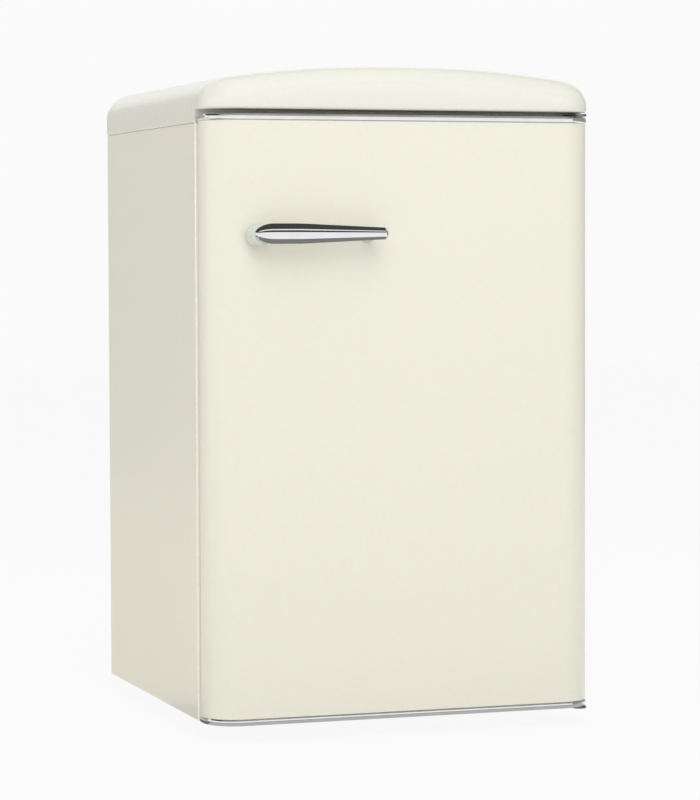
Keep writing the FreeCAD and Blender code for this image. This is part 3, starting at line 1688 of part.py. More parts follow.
def bolt_spots():
    """Where the four compressor bolts stand."""
    return [
        (f"compressor_offset + {x} * bolt_x", f"compressor_y + {y} * bolt_y")
        for x in ("-1", "1")
        for y in ("-1", "1")
    ]


def build_compressor():
    """The compressor on its legs, grommets and bolts, with its relay box and the drip tray on top."""
    axis = ("compressor_offset", "compressor_y")
    wall = rod("shell_wall", "z", axis, ("shell_bottom", "shell_seam"), "compressor_radius")
    seam = rod(
        "shell_flange",
        "z",
        axis,
        ("shell_seam - compressor_seam_height", "shell_seam"),
        "compressor_radius + compressor_seam_proud",
    )
    dome = doc.addObject("Part::Ellipsoid", "shell_dome")
    dome.setExpression("Radius1", cells("compressor_dome_height"))
    dome.setExpression("Radius2", cells("compressor_radius"))
    dome.setExpression("Radius3", cells("compressor_radius"))
    dome.Angle1 = 0
    stand(dome, "z", axis, "shell_seam")
    piece("compressor_shell", joined("shell", wall, seam, dome))

    legs = box(
        "legs_plate",
        ("compressor_offset - compressor_leg_half_width", "compressor_offset + compressor_leg_half_width"),
        ("compressor_y - compressor_leg_half_depth", "compressor_y + compressor_leg_half_depth"),
        ("legs_bottom", "shell_bottom"),
    )
    leg_holes, grommets, bolts = [], [], []
    for index, spot in enumerate(bolt_spots()):
        clear = "compressor_bolt_radius + fit_gap"
        leg_holes.append(rod(f"leg_hole_{index}", "z", spot, ("legs_bottom", "shell_bottom"), clear))
        ring = rod(f"grommet_{index}_ring", "z", spot, ("tray_top", "legs_bottom"), "grommet_radius")
        ring_bore = rod(f"grommet_{index}_bore", "z", spot, ("tray_top", "legs_bottom"), clear)
        grommets.append(without(f"grommet_{index}", ring, ring_bore))
        shank = rod(
            f"bolt_{index}_shank",
            "z",
            spot,
            ("cabinet_bottom", "shell_bottom"),
            "compressor_bolt_radius",
        )
        cap = hexagon(
            f"bolt_{index}_cap",
            spot,
            ("shell_bottom", "shell_bottom + compressor_bolt_cap"),
            "stud_hex_width",
        )
        bolts.append(joined(f"bolt_{index}", shank, cap))
    piece("compressor_legs", without("legs", legs, *leg_holes))
    piece("compressor_grommets", group("grommet_set", *grommets))

    relay = box(
        "relay_block",
        ("compressor_offset - compressor_radius - relay_width", "compressor_offset"),
        ("compressor_y - relay_half_depth", "compressor_y + relay_half_depth"),
        ("shell_bottom + relay_rise", "shell_bottom + relay_rise + relay_height"),
    )
    hug = rod("relay_hug", "z", axis, ("shell_bottom", "shell_seam"), "compressor_radius + fit_gap")
    piece("relay_box", without("relay", relay, hug))

    across = ("compressor_offset - drip_tray_half_width", "compressor_offset + drip_tray_half_width")
    deep = ("compressor_y - drip_tray_half_depth", "compressor_y + drip_tray_half_depth")
    pan = box("drip_block", across, deep, ("drip_bottom", "drip_top"))
    room = box(
        "drip_room",
        (f"{across[0]} + drip_tray_wall", f"{across[1]} - drip_tray_wall"),
        (f"{deep[0]} + drip_tray_wall", f"{deep[1]} - drip_tray_wall"),
        ("drip_bottom + drip_tray_wall", "drip_top + drip_tray_wall"),
    )
    piece("drip_tray", without("drip", pan, room))

    tube_span = ("drip_top - drip_tray_height / 2", "step_top - liner_thickness - fit_gap")
    tube = rod("drain_outer", "z", ("0", "drain_y"), tube_span, "drain_tube_radius")
    bore = rod("drain_bore", "z", ("0", "drain_y"), tube_span, "drain_bore_radius")
    piece("drain_tube", without("drain", tube, bore))
    return bolts


def bent_pipe(corners, bend_radius, radius):
    """A round pipe through corners, with each corner turned on an arc of the bend radius."""
    path = []
    start = corners[0]
    for before, corner, after in zip(corners, corners[1:], corners[2:]):
        inward = (before - corner).normalize()
        outward = (after - corner).normalize()
        first = corner + inward * bend_radius
        last = corner + outward * bend_radius
        centre = corner + (inward + outward) * bend_radius
        towards_corner = (corner - centre).normalize()
        if (first - start).Length > NEAR:
            path.append(Part.LineSegment(start, first).toShape())
        path.append(Part.Arc(first, centre + towards_corner * bend_radius, last).toShape())
        start = last
    path.append(Part.LineSegment(start, corners[-1]).toShape())
    heading = (corners[1] - corners[0]).normalize()
    section = Part.Wire([Part.Circle(corners[0], heading, radius).toShape()])
    return Part.Wire(path).makePipeShell([section], True, False)


def spot(x, y, z):
    """A point given by three expressions."""
    return Vector(number(x), number(y), number(z))


def pipe_piece(name, shape):
    """A pipe kept as a document object."""
    made = doc.addObject("Part::Feature", name)
    made.Shape = shape
    made.Placement = Placement()
    return made


def build_condenser():
    """The condenser on the back: one tube from the compressor to the drier, its wires and its brackets."""
    start_y = "compressor_y + compressor_radius + fit_gap"
    corners = [
        spot("compressor_offset", start_y, "outlet_level"),
        spot("compressor_offset", "coil_plane", "outlet_level"),
        spot("riser_x", "coil_plane", "outlet_level"),
        spot("riser_x", "coil_plane", "coil_highest"),
    ]
    runs = int(number("condenser_runs"))
    side = -1
    for run in range(runs):
        level = f"coil_highest - {run} * condenser_pitch"
        corners.append(spot(f"{side} * condenser_run_half", "coil_plane", level))
        if run < runs - 1:
            corners.append(spot(f"{side} * condenser_run_half", "coil_plane", f"{level} - condenser_pitch"))
        side = -side
    corners.append(spot(f"{-side} * condenser_run_half", "coil_plane", "drier_top"))
    tube = bent_pipe(corners, number("pipe_bend_radius"), number("condenser_tube_radius"))
    piece("condenser_tube", pipe_piece("coil", tube))

    wires = []
    count = int(number("wire_count"))
    for face, sign in (("front", "-1"), ("back", "1")):
        for index in range(count):
            x = f"wire_pitch * ({index} - (wire_count - 1) / 2)"
            across = (x, f"coil_plane + {sign} * wire_offset")
            wires.append(
                rod(
                    f"wire_{face}_{index}",
                    "z",
                    across,
                    ("coil_lowest - wire_overrun", "coil_highest + wire_overrun"),
                    "wire_radius",
                )
            )
    piece("condenser_wires", group("wire_set", *wires))

    clips = []
    for level in ("coil_lowest", "coil_highest"):
        for name, sign in SIDES:
            middle = f"{sign} * bracket_x"
            clips.append(
                box(
                    f"clip_{level}_{name}",
                    (f"{middle} - bracket_width / 2", f"{middle} + bracket_width / 2"),
                    ("panel_rear", "coil_plane - condenser_tube_radius - fit_gap"),
                    (f"{level} - bracket_height / 2", f"{level} + bracket_height / 2"),
                )
            )
    piece("condenser_brackets", group("clip_set", *clips))

    drier_at = (f"{-side} * condenser_run_half", "coil_plane")
    body = rod(
        "drier_body",
        "z",
        drier_at,
        ("drier_bottom + drier_radius", "drier_top - drier_radius"),
        "drier_radius",
    )
    upper = taper(
        "drier_upper", "z", drier_at, ("drier_top - drier_radius", "drier_top"), (
            "drier_radius", "condenser_tube_radius",
        )
    )
    lower = taper(
        "drier_lower", "z", drier_at, ("drier_bottom", "drier_bottom + drier_radius"), (
            "condenser_tube_radius", "drier_radius",
        )
    )
    piece("filter_drier", joined("drier", body, upper, lower))

    suction = [
        spot(
            "compressor_offset + compressor_radius + fit_gap",
            "compressor_y",
            "shell_bottom + suction_level",
        ),
        spot("suction_x", "compressor_y", "shell_bottom + suction_level"),
        spot("suction_x", "suction_y", "shell_bottom + suction_level"),
        spot("suction_x", "suction_y", "pipe_entry"),
        spot("suction_x", "pipe_end_y", "pipe_entry"),
        spot("suction_x", "pipe_end_y", "evaporator_bottom - fit_gap"),
    ]
    low = "drier_bottom - capillary_drop"
    capillary = [
        spot(*drier_at, "drier_bottom"),
        spot(*drier_at, low),
        spot("capillary_x", "coil_plane", low),
        spot("capillary_x", "coil_plane", "pipe_entry"),
        spot("capillary_x", "pipe_end_y", "pipe_entry"),
        spot("capillary_x", "pipe_end_y", "evaporator_bottom - fit_gap"),
    ]
    bend = number("pipe_bend_radius")
    pipes = [
        pipe_piece("suction_pipe", bent_pipe(suction, bend, number("suction_radius"))),
        pipe_piece("capillary_pipe", bent_pipe(capillary, bend, number("capillary_radius"))),
    ]
    piece("refrigerant_pipes", group("pipe_pair", *pipes))

    piece(
        "evaporator_plate",
        box(
            "evaporator",
            ("-evaporator_half", "evaporator_half"),
            ("evaporator_front", "evaporator_front + evaporator_sheet"),
            ("evaporator_bottom", "evaporator_top"),
        ),
    )


def build_gland():
    """The bush in the back panel where the mains lead goes in."""
    at = ("gland_offset", "gland_level")
    sleeve = rod("gland_sleeve", "y", at, ("panel_front - gland_length", "panel_rear"), "gland_radius")
    flange = rod(
        "gland_flange_disc",
        "y",
        at,
        ("panel_rear", "panel_rear + gland_flange"),
        "gland_flange_radius",
    )
    bore = rod(
        "gland_bore",
        "y",
        at,
        ("panel_front - gland_length", "panel_rear + gland_flange"),
        "gland_bore_radius",
    )
    piece("mains_gland", without("gland", joined("gland_blank", sleeve, flange), bore))


build_cabinet()
build_lid()
build_hinges()
build_door()
build_door_liner()
build_racks()
build_handle()
build_shelves()
build_crisper()
build_controls()
nuts = build_feet()
build_tray()
bolts = build_compressor()
piece("base_fasteners", group("fastener_set", *nuts, *bolts))
build_condenser()
build_gland()
doc.recompute()

failed = [made.Name for made in doc.Objects if {"Invalid", "Error"} & set(made.State)]
failed += [
    made.Label
    for made in pieces if made.Shape.isNull() or not made.Shape.isValid() or not made.Shape.Solids
]
if failed:
    raise RuntimeError("these objects failed: " + ", ".join(failed))

os.makedirs("parts", exist_ok=True)
for made in pieces:
    made.Shape.exportStep(os.path.join("parts", made.Label + ".step"))
print(len(pieces), "pieces written")
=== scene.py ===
"""Dress the retro refrigerator: finer meshes, procedural finishes, a pale studio and the camera."""
import logging
import math
from dataclasses import dataclass
from enum import Enum
from typing import Optional, Sequence, Union

import bmesh
import bpy
from bpy.types import ID, Material, Node, NodeSocket, NodeTree, Object, Scene
from mathutils import Matrix, Vector


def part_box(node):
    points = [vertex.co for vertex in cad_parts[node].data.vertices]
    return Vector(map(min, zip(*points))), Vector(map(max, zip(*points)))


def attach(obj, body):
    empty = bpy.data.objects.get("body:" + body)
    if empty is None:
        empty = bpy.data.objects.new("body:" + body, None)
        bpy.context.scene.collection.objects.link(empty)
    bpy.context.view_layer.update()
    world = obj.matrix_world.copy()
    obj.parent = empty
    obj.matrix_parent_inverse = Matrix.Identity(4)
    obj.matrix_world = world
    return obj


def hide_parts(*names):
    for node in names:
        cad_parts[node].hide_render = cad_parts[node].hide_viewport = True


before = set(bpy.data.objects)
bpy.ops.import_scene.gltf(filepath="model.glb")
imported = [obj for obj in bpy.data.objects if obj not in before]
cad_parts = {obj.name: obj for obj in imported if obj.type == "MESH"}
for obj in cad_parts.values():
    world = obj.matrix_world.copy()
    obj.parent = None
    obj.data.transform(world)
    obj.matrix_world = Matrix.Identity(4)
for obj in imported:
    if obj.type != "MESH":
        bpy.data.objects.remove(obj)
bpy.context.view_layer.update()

NODES: dict[str, Object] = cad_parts
LOG = logging.getLogger("refrigerator")
MM = 0.001
QUARTER = math.pi / 2

Colour = tuple[float, float, float]
Point = tuple[float, float, float]
Profile = Sequence[tuple[float, float]]
Station = tuple[Vector, Vector]


# Finishes

WHITE = (1.0, 1.0, 1.0, 1.0)
TONE_SPAN = (0.15, 0.85)
SMEAR_RATIO = 2.3
SMEAR_DETAIL = 3.0
RELIEF_DETAIL = 2.0
BRUSHED_DETAIL = 6.0
CLOUD_DETAIL = 3.0


class Grain(Enum):
    """How a finish varies over its surface."""

    CLOUD = "cloud"
    SPANGLE = "spangle"
    BRUSHED = "brushed"
    CELLS = "cells"


def set_inputs(node: Node, values: dict[Union[str, int], object]) -> Node:
    """Set inputs of a node.

    Args:
        node: The node.
        values: What each input is set to, by its name or number.

    Returns:
        The node.
    """
    for socket, value in values.items():
        node.inputs[socket].default_value = value
    return node


@dataclass(frozen=True)
class Finish:
    """A procedural finish, for one of the record's slots, that varies over the surface."""

    name: str
    slot: str
    low: Colour
    high: Colour
    scale: float
    rough: tuple[float, float]
    metallic: float = 0.0
    coat: float = 0.0
    coat_rough: float = 0.04
    transmission: float = 0.0
    ior: float = 1.5
    bump_scale: float = 420.0
    bump_depth: float = 0.00004
    stretch: Point = (1.0, 1.0, 1.0)
    grain: Grain = Grain.CLOUD

    def build(self) -> Material:
        """Make the material, or give back the one already made.

        Returns:
            The material with its nodes.
        """
        made = bpy.data.materials.get(self.name)
        if made:
            return made
        made = bpy.data.materials.new(self.name)
        made.use_nodes = True
        tree = made.node_tree
        add, link = tree.nodes.new, tree.links.new
        shader = set_inputs(tree.nodes["Principled BSDF"], {
            "Metallic": self.metallic, "Coat Weight": self.coat, "Coat Roughness": self.coat_rough,
            "Transmission Weight": self.transmission, "IOR": self.ior,
        })
        mapping = set_inputs(add("ShaderNodeMapping"), {"Scale": self.stretch})
        link(add("ShaderNodeTexCoord").outputs["Object"], mapping.inputs["Vector"])
        ramp = add("ShaderNodeValToRGB")
        ramp.color_ramp.interpolation = "EASE"
        for end, position, colour in zip(ramp.color_ramp.elements, TONE_SPAN, (self.low, self.high)):
            end.position = position
            end.color = (*colour, 1.0)
        link(self._pattern(tree, mapping), ramp.inputs["Fac"])
        link(ramp.outputs["Color"], shader.inputs["Base Color"])
        gloss = set_inputs(add("ShaderNodeMapRange"), {
            "From Min": TONE_SPAN[0], "From Max": TONE_SPAN[1],
            "To Min": self.rough[0], "To Max": self.rough[1],
        })
        gloss.interpolation_type = "SMOOTHSTEP"
        smear = self._noise(tree, mapping, self.scale * SMEAR_RATIO, SMEAR_DETAIL)
        link(smear.outputs["Fac"], gloss.inputs["Value"])
        link(gloss.outputs["Result"], shader.inputs["Roughness"])
        relief = set_inputs(add("ShaderNodeBump"), {"Strength": 1.0, "Distance": self.bump_depth})
        height = self._noise(tree, mapping, self.bump_scale, RELIEF_DETAIL)
        link(height.outputs["Fac"], relief.inputs["Height"])
        link(relief.outputs["Normal"], shader.inputs["Normal"])
        return made

    def _noise(
        self, tree: NodeTree, mapping: Node, scale: float, detail: float
    ) -> Node:
        """Add a noise texture.

        Args:
            tree: The material's nodes.
            mapping: The node that places the pattern.
            scale: Waves per metre.
            detail: How many finer layers it has.

        Returns:
            The noise node.
        """
        noise = set_inputs(tree.nodes.new("ShaderNodeTexNoise"), {"Scale": scale, "Detail": detail})
        tree.links.new(mapping.outputs["Vector"], noise.inputs["Vector"])
        return noise

    def _pattern(self, tree: NodeTree, mapping: Node) -> NodeSocket:
        """Add the pattern that spreads the finish between its two colours.

        Args:
            tree: The material's nodes.
            mapping: The node that places the pattern.

        Returns:
            The socket with the pattern's value.
        """
        if self.grain in (Grain.SPANGLE, Grain.CELLS):
            cells = set_inputs(tree.nodes.new("ShaderNodeTexVoronoi"), {"Scale": self.scale})
            tree.links.new(mapping.outputs["Vector"], cells.inputs["Vector"])
            return cells.outputs["Color" if self.grain is Grain.SPANGLE else "Distance"]
        detail = BRUSHED_DETAIL if self.grain is Grain.BRUSHED else CLOUD_DETAIL
        return self._noise(tree, mapping, self.scale, detail).outputs["Fac"]


ENAMEL = Finish(
    "cream_enamel", "cream_paint", (0.800, 0.781, 0.668), (0.816, 0.797, 0.684), 170.0, (0.30, 0.34),
    coat=0.12, coat_rough=0.08, bump_scale=520.0, bump_depth=0.000006,
)
LID_ENAMEL = Finish(
    "cream_lid_moulding", "cream_moulding", (0.789, 0.789, 0.698), (0.805, 0.805, 0.714), 170.0,
    (0.24, 0.28), coat=0.3, coat_rough=0.05, bump_scale=460.0, bump_depth=0.000006,
)
# Painted highlight: a paler cream than the enamel, for the light that the wrap's rounded front edges catch.
EDGE_HIGHLIGHT = Finish(
    "pale_edge_bead", "cream_paint", (0.94, 0.905, 0.815), (0.96, 0.925, 0.835), 90.0, (0.24, 0.30),
    coat=0.3, coat_rough=0.06, bump_scale=520.0, bump_depth=0.000006,
)
# Painted shade: the door's cream paint darkened to a greenish grey, for the shade round the boss under the
# bar.
SHADED_BOSS_CREAM = Finish(
    "boss_cream_painted_shade", "cream_paint", (0.645, 0.670, 0.610), (0.665, 0.690, 0.630), 120.0, (0.26, 0.32),
    coat=0.15, coat_rough=0.08, bump_scale=620.0, bump_depth=0.000006,
)
CHROME = Finish(
    "polished_chrome", "chrome", (0.80, 0.80, 0.82), (0.88, 0.88, 0.90), 30.0, (0.04, 0.09), metallic=1.0,
    bump_scale=900.0, bump_depth=0.000002,
)
ZINC = Finish(
    "zinc_sheet", "zinc_sheet", (0.44, 0.46, 0.47), (0.62, 0.64, 0.65), 55.0, (0.30, 0.46), metallic=0.9,
    bump_scale=140.0, bump_depth=0.00003, grain=Grain.SPANGLE,
)
PLATED = Finish(
    "plated_steel", "steel_bright", (0.50, 0.51, 0.52), (0.64, 0.65, 0.66), 180.0, (0.22, 0.36),
    metallic=1.0, stretch=(1.0, 1.0, 8.0), grain=Grain.BRUSHED,
)
# Painted shade: steel darkened well below the bright steel of its slot, for the shade beneath the door
# where the brackets sit.
SHADED_HINGE_STEEL = Finish(
    "hinge_steel_painted_shade", "steel_bright", (0.20, 0.20, 0.205), (0.30, 0.30, 0.305), 160.0, (0.26, 0.40),
    metallic=1.0, stretch=(1.0, 1.0, 6.0), grain=Grain.BRUSHED,
)
BLACK_PAINT = Finish(
    "black_paint", "black_paint", (0.016, 0.016, 0.018), (0.034, 0.034, 0.036), 26.0, (0.34, 0.5), coat=0.2,
    bump_scale=700.0,
)
WHITE_MOULDING = Finish(
    "white_moulding", "white_moulding", (0.780, 0.788, 0.790), (0.825, 0.832, 0.832), 6.0, (0.26, 0.36),
    bump_scale=650.0, bump_depth=0.00003,
)
WHITE_SMALL = Finish(
    "white_fitting", "white_moulding", (0.76, 0.765, 0.76), (0.83, 0.835, 0.83), 40.0, (0.28, 0.38),
    bump_scale=1500.0, bump_depth=0.00002,
)
FOAM = Finish(
    "cellular_foam", "insulation", (0.72, 0.62, 0.36), (0.86, 0.78, 0.54), 260.0, (0.85, 0.95),
    bump_scale=300.0, bump_depth=0.0006, grain=Grain.CELLS,
)
RUBBER = Finish(
    "dark_rubber", "rubber_dark", (0.018, 0.018, 0.018), (0.045, 0.044, 0.043), 120.0, (0.6, 0.8),
    bump_scale=1800.0, bump_depth=0.00006,
)
SEAL = Finish(
    "pale_seal", "seal_grey", (0.58, 0.57, 0.52), (0.68, 0.67, 0.62), 30.0, (0.5, 0.62), bump_scale=1200.0,
)
GLASS = Finish(
    "clear_glass", "shelf_glass", (0.86, 0.94, 0.92), (0.92, 0.97, 0.96), 9.0, (0.015, 0.045),
    transmission=1.0, bump_scale=30.0, bump_depth=0.000004,
)
CLEAR_MOULDING = Finish(
    "clear_moulding", "clear_moulding", (0.80, 0.89, 0.93), (0.88, 0.94, 0.97), 14.0, (0.05, 0.12),
    transmission=0.9, ior=1.46, bump_scale=90.0, bump_depth=0.00003,
)
FROSTED = Finish(
    "frosted_lens", "clear_moulding", (0.86, 0.88, 0.86), (0.93, 0.94, 0.92), 60.0, (0.42, 0.55),
    transmission=0.7, ior=1.46, bump_depth=0.0002,
)
BLACK_PLASTIC = Finish(
    "black_plastic", "black_plastic", (0.022, 0.022, 0.024), (0.05, 0.05, 0.053), 90.0, (0.45, 0.6),
    bump_scale=1600.0, bump_depth=0.00005,
)
COPPER = Finish(
    "bare_copper", "copper", (0.42, 0.17, 0.08), (0.80, 0.42, 0.25), 38.0, (0.22, 0.44), metallic=1.0,
    bump_scale=900.0, bump_depth=0.00002,
)
ALUMINIUM = Finish(
    "rolled_aluminium", "aluminium", (0.70, 0.71, 0.72), (0.80, 0.81, 0.82), 240.0, (0.26, 0.38),
    metallic=1.0, stretch=(0.1, 1.0, 1.0), grain=Grain.BRUSHED,
)
BEARING = Finish(
    "bearing_plastic", "bush_plastic", (0.52, 0.51, 0.46), (0.64, 0.63, 0.58), 150.0, (0.4, 0.52),
    bump_scale=1500.0, bump_depth=0.00003,
)
DIAL_PRINT = Finish(
    "dial_print", "white_moulding", (0.06, 0.09, 0.16), (0.10, 0.14, 0.22), 150.0, (0.45, 0.55),
    bump_scale=1500.0, bump_depth=0.00001,
)


# Meshes

WELD = 1e-6
NODE_WELD = 2e-6
FLAT_TURN = 0.6
ROUNDED_TURN = 30.0
ROUNDING_STEPS = 2
NODE_CREASE = 24.0
PIECE_CREASE = 40.0
CORNER_STEPS = 24
REAR_STEPS = 6


class Ends(Enum):
    """What becomes of the two ends of a row of rings."""

    CAPPED = "capped"
    JOINED = "joined"
    OPEN = "open"


def spread(start: float, end: float, steps: int) -> list[float]:
    """Evenly spaced values from a start to an end, both included."""
    return [start + (end - start) * step / steps for step in range(steps + 1)]


def around(sides: int) -> list[float]:
    """The angles of evenly spaced places round one turn."""
    return [math.tau * side / sides for side in range(sides)]


def linked(name: str, data: ID) -> Object:
    """Put data into the scene as an object at the origin.

    Args:
        name: The object's name.
        data: Its mesh, light or camera.

    Returns:
        The object.
    """
    made = bpy.data.objects.new(name, data)
    bpy.context.scene.collection.objects.link(made)
    return made


def mesh_object(name: str, points: Sequence[Vector], faces: Sequence[Sequence[int]]) -> Object:
    """Make a mesh object at the origin.

    Args:
        name: The piece's name.
        points: Its points, in metres in the shared frame.
        faces: Its faces, as indices of points.

    Returns:
        The object, with its normals pointing outwards.
    """
    mesh = bpy.data.meshes.new(name)
    mesh.from_pydata([tuple(point) for point in points], [], [list(face) for face in faces])
    work = bmesh.new()
    work.from_mesh(mesh)
    bmesh.ops.remove_doubles(work, verts=work.verts, dist=WELD)
    bmesh.ops.recalc_face_normals(work, faces=work.faces)
    work.to_mesh(mesh)
    work.free()
    return linked(name, mesh)


def shade(piece: Object, angle: float) -> Object:
    """Shade a piece smooth, with creases.

    Args:
        piece: The piece.
        angle: A crease lies wherever the faces turn by more than this, in degrees.

    Returns:
        The piece.
    """
    piece.data.shade_smooth()
    piece.data.set_sharp_from_angle(angle=math.radians(angle))
    return piece


def settled(piece: Object) -> Object:
    """Keep what a piece's modifiers make as its plain mesh.

    Args:
        piece: The piece.

    Returns:
        The piece, with no modifier left.
    """
    graph = bpy.context.evaluated_depsgraph_get()
    graph.update()
    plain = bpy.data.meshes.new_from_object(piece.evaluated_get(graph))
    piece.modifiers.clear()
    piece.data = plain
    return piece


def tube_faces(rings: int, sides: int, ends: Ends = Ends.CAPPED) -> list[list[int]]:
    """The quads between rings of points.

    Args:
        rings: How many rings there are.
        sides: How many points each ring has.
        ends: What becomes of the first and the last ring.

    Returns:
        The faces, as indices of points laid out ring by ring.
    """
    faces = []
    for ring in range(rings if ends is Ends.JOINED else rings - 1):
        here, there = ring * sides, (ring + 1) % rings * sides
        for side in range(sides):
            after = (side + 1) % sides
            faces.append([here + side, here + after, there + after, there + side])
    if ends is Ends.CAPPED:
        faces.append(list(range(sides)))
        faces.append([(rings - 1) * sides + side for side in range(sides)])
    return faces


def lofted(name: str, rings: Sequence[Sequence[Vector]], ends: Ends = Ends.CAPPED) -> Object:
    """Make a piece from rings that all have the same number of points."""
    points = [point for ring in rings for point in ring]
    return mesh_object(name, points, tube_faces(len(rings), len(rings[0]), ends))


def plan_sweep(name: str, path: Sequence[Station], profile: Profile) -> Object:
    """Sweep an upright closed profile along a path in plan.

    Args:
        name: The piece's name.
        path: Places and outward normals along the path.
        profile: The profile's points, as distance outwards and height.

    Returns:
        The closed piece.
    """
    rings = []
    for place, normal in path:
        rings.append([Vector((*(place + normal * outwards).xy, height)) for outwards, height in profile])
    return lofted(name, rings)


def arc(centre: Vector, radius: float, start: float, end: float, steps: int) -> list[Station]:
    """Follow an arc in plan.

    Args:
        centre: The arc's centre.
        radius: Its radius.
        start: Its first angle, in degrees.
        end: Its last angle, in degrees.
        steps: How many steps it has.

    Returns:
        The stations along it.
    """
    stations = []
    for angle in spread(start, end, steps):
        normal = Vector((math.cos(math.radians(angle)), math.sin(math.radians(angle)), 0.0))
        stations.append((centre + normal * radius, normal))
    return stations


def mirrored(path: Sequence[Station]) -> list[Station]:
    """The same stations on the other side of the middle, in the opposite order."""
    flip = Vector((-1.0, 1.0, 1.0))
    return [(place * flip, normal * flip) for place, normal in reversed(path)]


def door_path(
    half: float, front: float, back: float, corner: float, rear: float, lip: float
) -> list[Station]:
    """The door's plan, from its left rear edge round the front to its right rear edge.

    Args:
        half: Half the width.
        front: The front's place along Y.
        back: The back's place along Y.
        corner: The radius of the front corners.
        rear: The radius of the rear edges, or nothing for straight ends.
        lip: How far the rear edges turn in past that radius.

    Returns:
        The stations of the path.
    """
    path: list[Station] = []
    if rear:
        path.append((Vector((-half + rear + lip, back, 0.0)), Vector((0.0, 1.0, 0.0))))
        path += arc(Vector((-half + rear, back - rear, 0.0)), rear, 90, 180, REAR_STEPS)
    else:
        path.append((Vector((-half, back, 0.0)), Vector((-1.0, 0.0, 0.0))))
    path += arc(Vector((-half + corner, front + corner, 0.0)), corner, 180, 270, CORNER_STEPS)
    return path + mirrored(path)


def turned(name: str, profile: Profile, place: Matrix, sides: int = 48) -> Object:
    """Turn a profile that starts and ends on the axis about the local Z axis.

    Args:
        name: The piece's name.
        profile: Radius and height of each point.
        place: Where the local frame stands.
        sides: How many steps one turn has.

    Returns:
        The turned piece.
    """
    rings = []
    for radius, height in profile:
        ring = [(radius * math.cos(angle), radius * math.sin(angle), height) for angle in around(sides)]
        rings.append([place @ Vector(point) for point in ring])
    return lofted(name, rings)


def node_copy(node: str) -> Object:
    """A bare copy of a node, with every face as it is.

    Args:
        node: The node's name.

    Returns:
        The copy.
    """
    mesh = NODES[node].data.copy()
    mesh.name = node + "_fine"
    mesh.materials.clear()
    return linked(node + "_fine", mesh)


def softened(node: str, width: float) -> Object:
    """A copy of a node with its sharp edges rounded and its flats shaded level.

    Args:
        node: The node's name.
        width: The rounding's width, or nothing for edges as they are.

    Returns:
        The copy.
    """
    made = node_copy(node)
    work = bmesh.new()
    work.from_mesh(made.data)
    bmesh.ops.remove_doubles(work, verts=work.verts, dist=NODE_WELD)
    bmesh.ops.dissolve_limit(work, angle_limit=math.radians(FLAT_TURN), verts=work.verts, edges=work.edges)
    if width:
        limit = math.radians(ROUNDED_TURN)
        inner = [edge for edge in work.edges if len(edge.link_faces) == 2]
        bmesh.ops.bevel(
            work, geom=[edge for edge in inner if edge.calc_face_angle() > limit], offset=width,
            offset_type="OFFSET", segments=ROUNDING_STEPS, profile=0.5, affect="EDGES", clamp_overlap=True,
            loop_slide=True,
        )
    bmesh.ops.triangulate(work, faces=[face for face in work.faces if len(face.verts) > 4])
    work.to_mesh(made.data)
    work.free()
    level = shade(made, NODE_CREASE).modifiers.new("level_flats", "WEIGHTED_NORMAL")
    level.keep_sharp = True
    return settled(made)


def block(name: str, low: Vector, high: Vector, width: float) -> Object:
    """A box with rounded edges.

    Args:
        name: The piece's name.
        low: Its lowest corner.
        high: Its highest corner.
        width: The rounding's width.

    Returns:
        The box.
    """
    corners = ((low.x, low.y), (high.x, low.y), (high.x, high.y), (low.x, high.y))
    made = lofted(name, [[Vector((x, y, z)) for x, y in corners] for z in (low.z, high.z)])
    work = bmesh.new()
    work.from_mesh(made.data)
    bmesh.ops.bevel(
        work, geom=work.edges[:], offset=width, segments=3, profile=0.5, affect="EDGES", clamp_overlap=True
    )
    work.to_mesh(made.data)
    work.free()
    return shade(made, PIECE_CREASE)


# Repeated pieces

FIELD_CREASE = 32.0
SCREW_SIDES = 32
FACING_BACK = (-QUARTER, 0.0, 0.0)
ALONG_X = (0.0, QUARTER, 0.0)


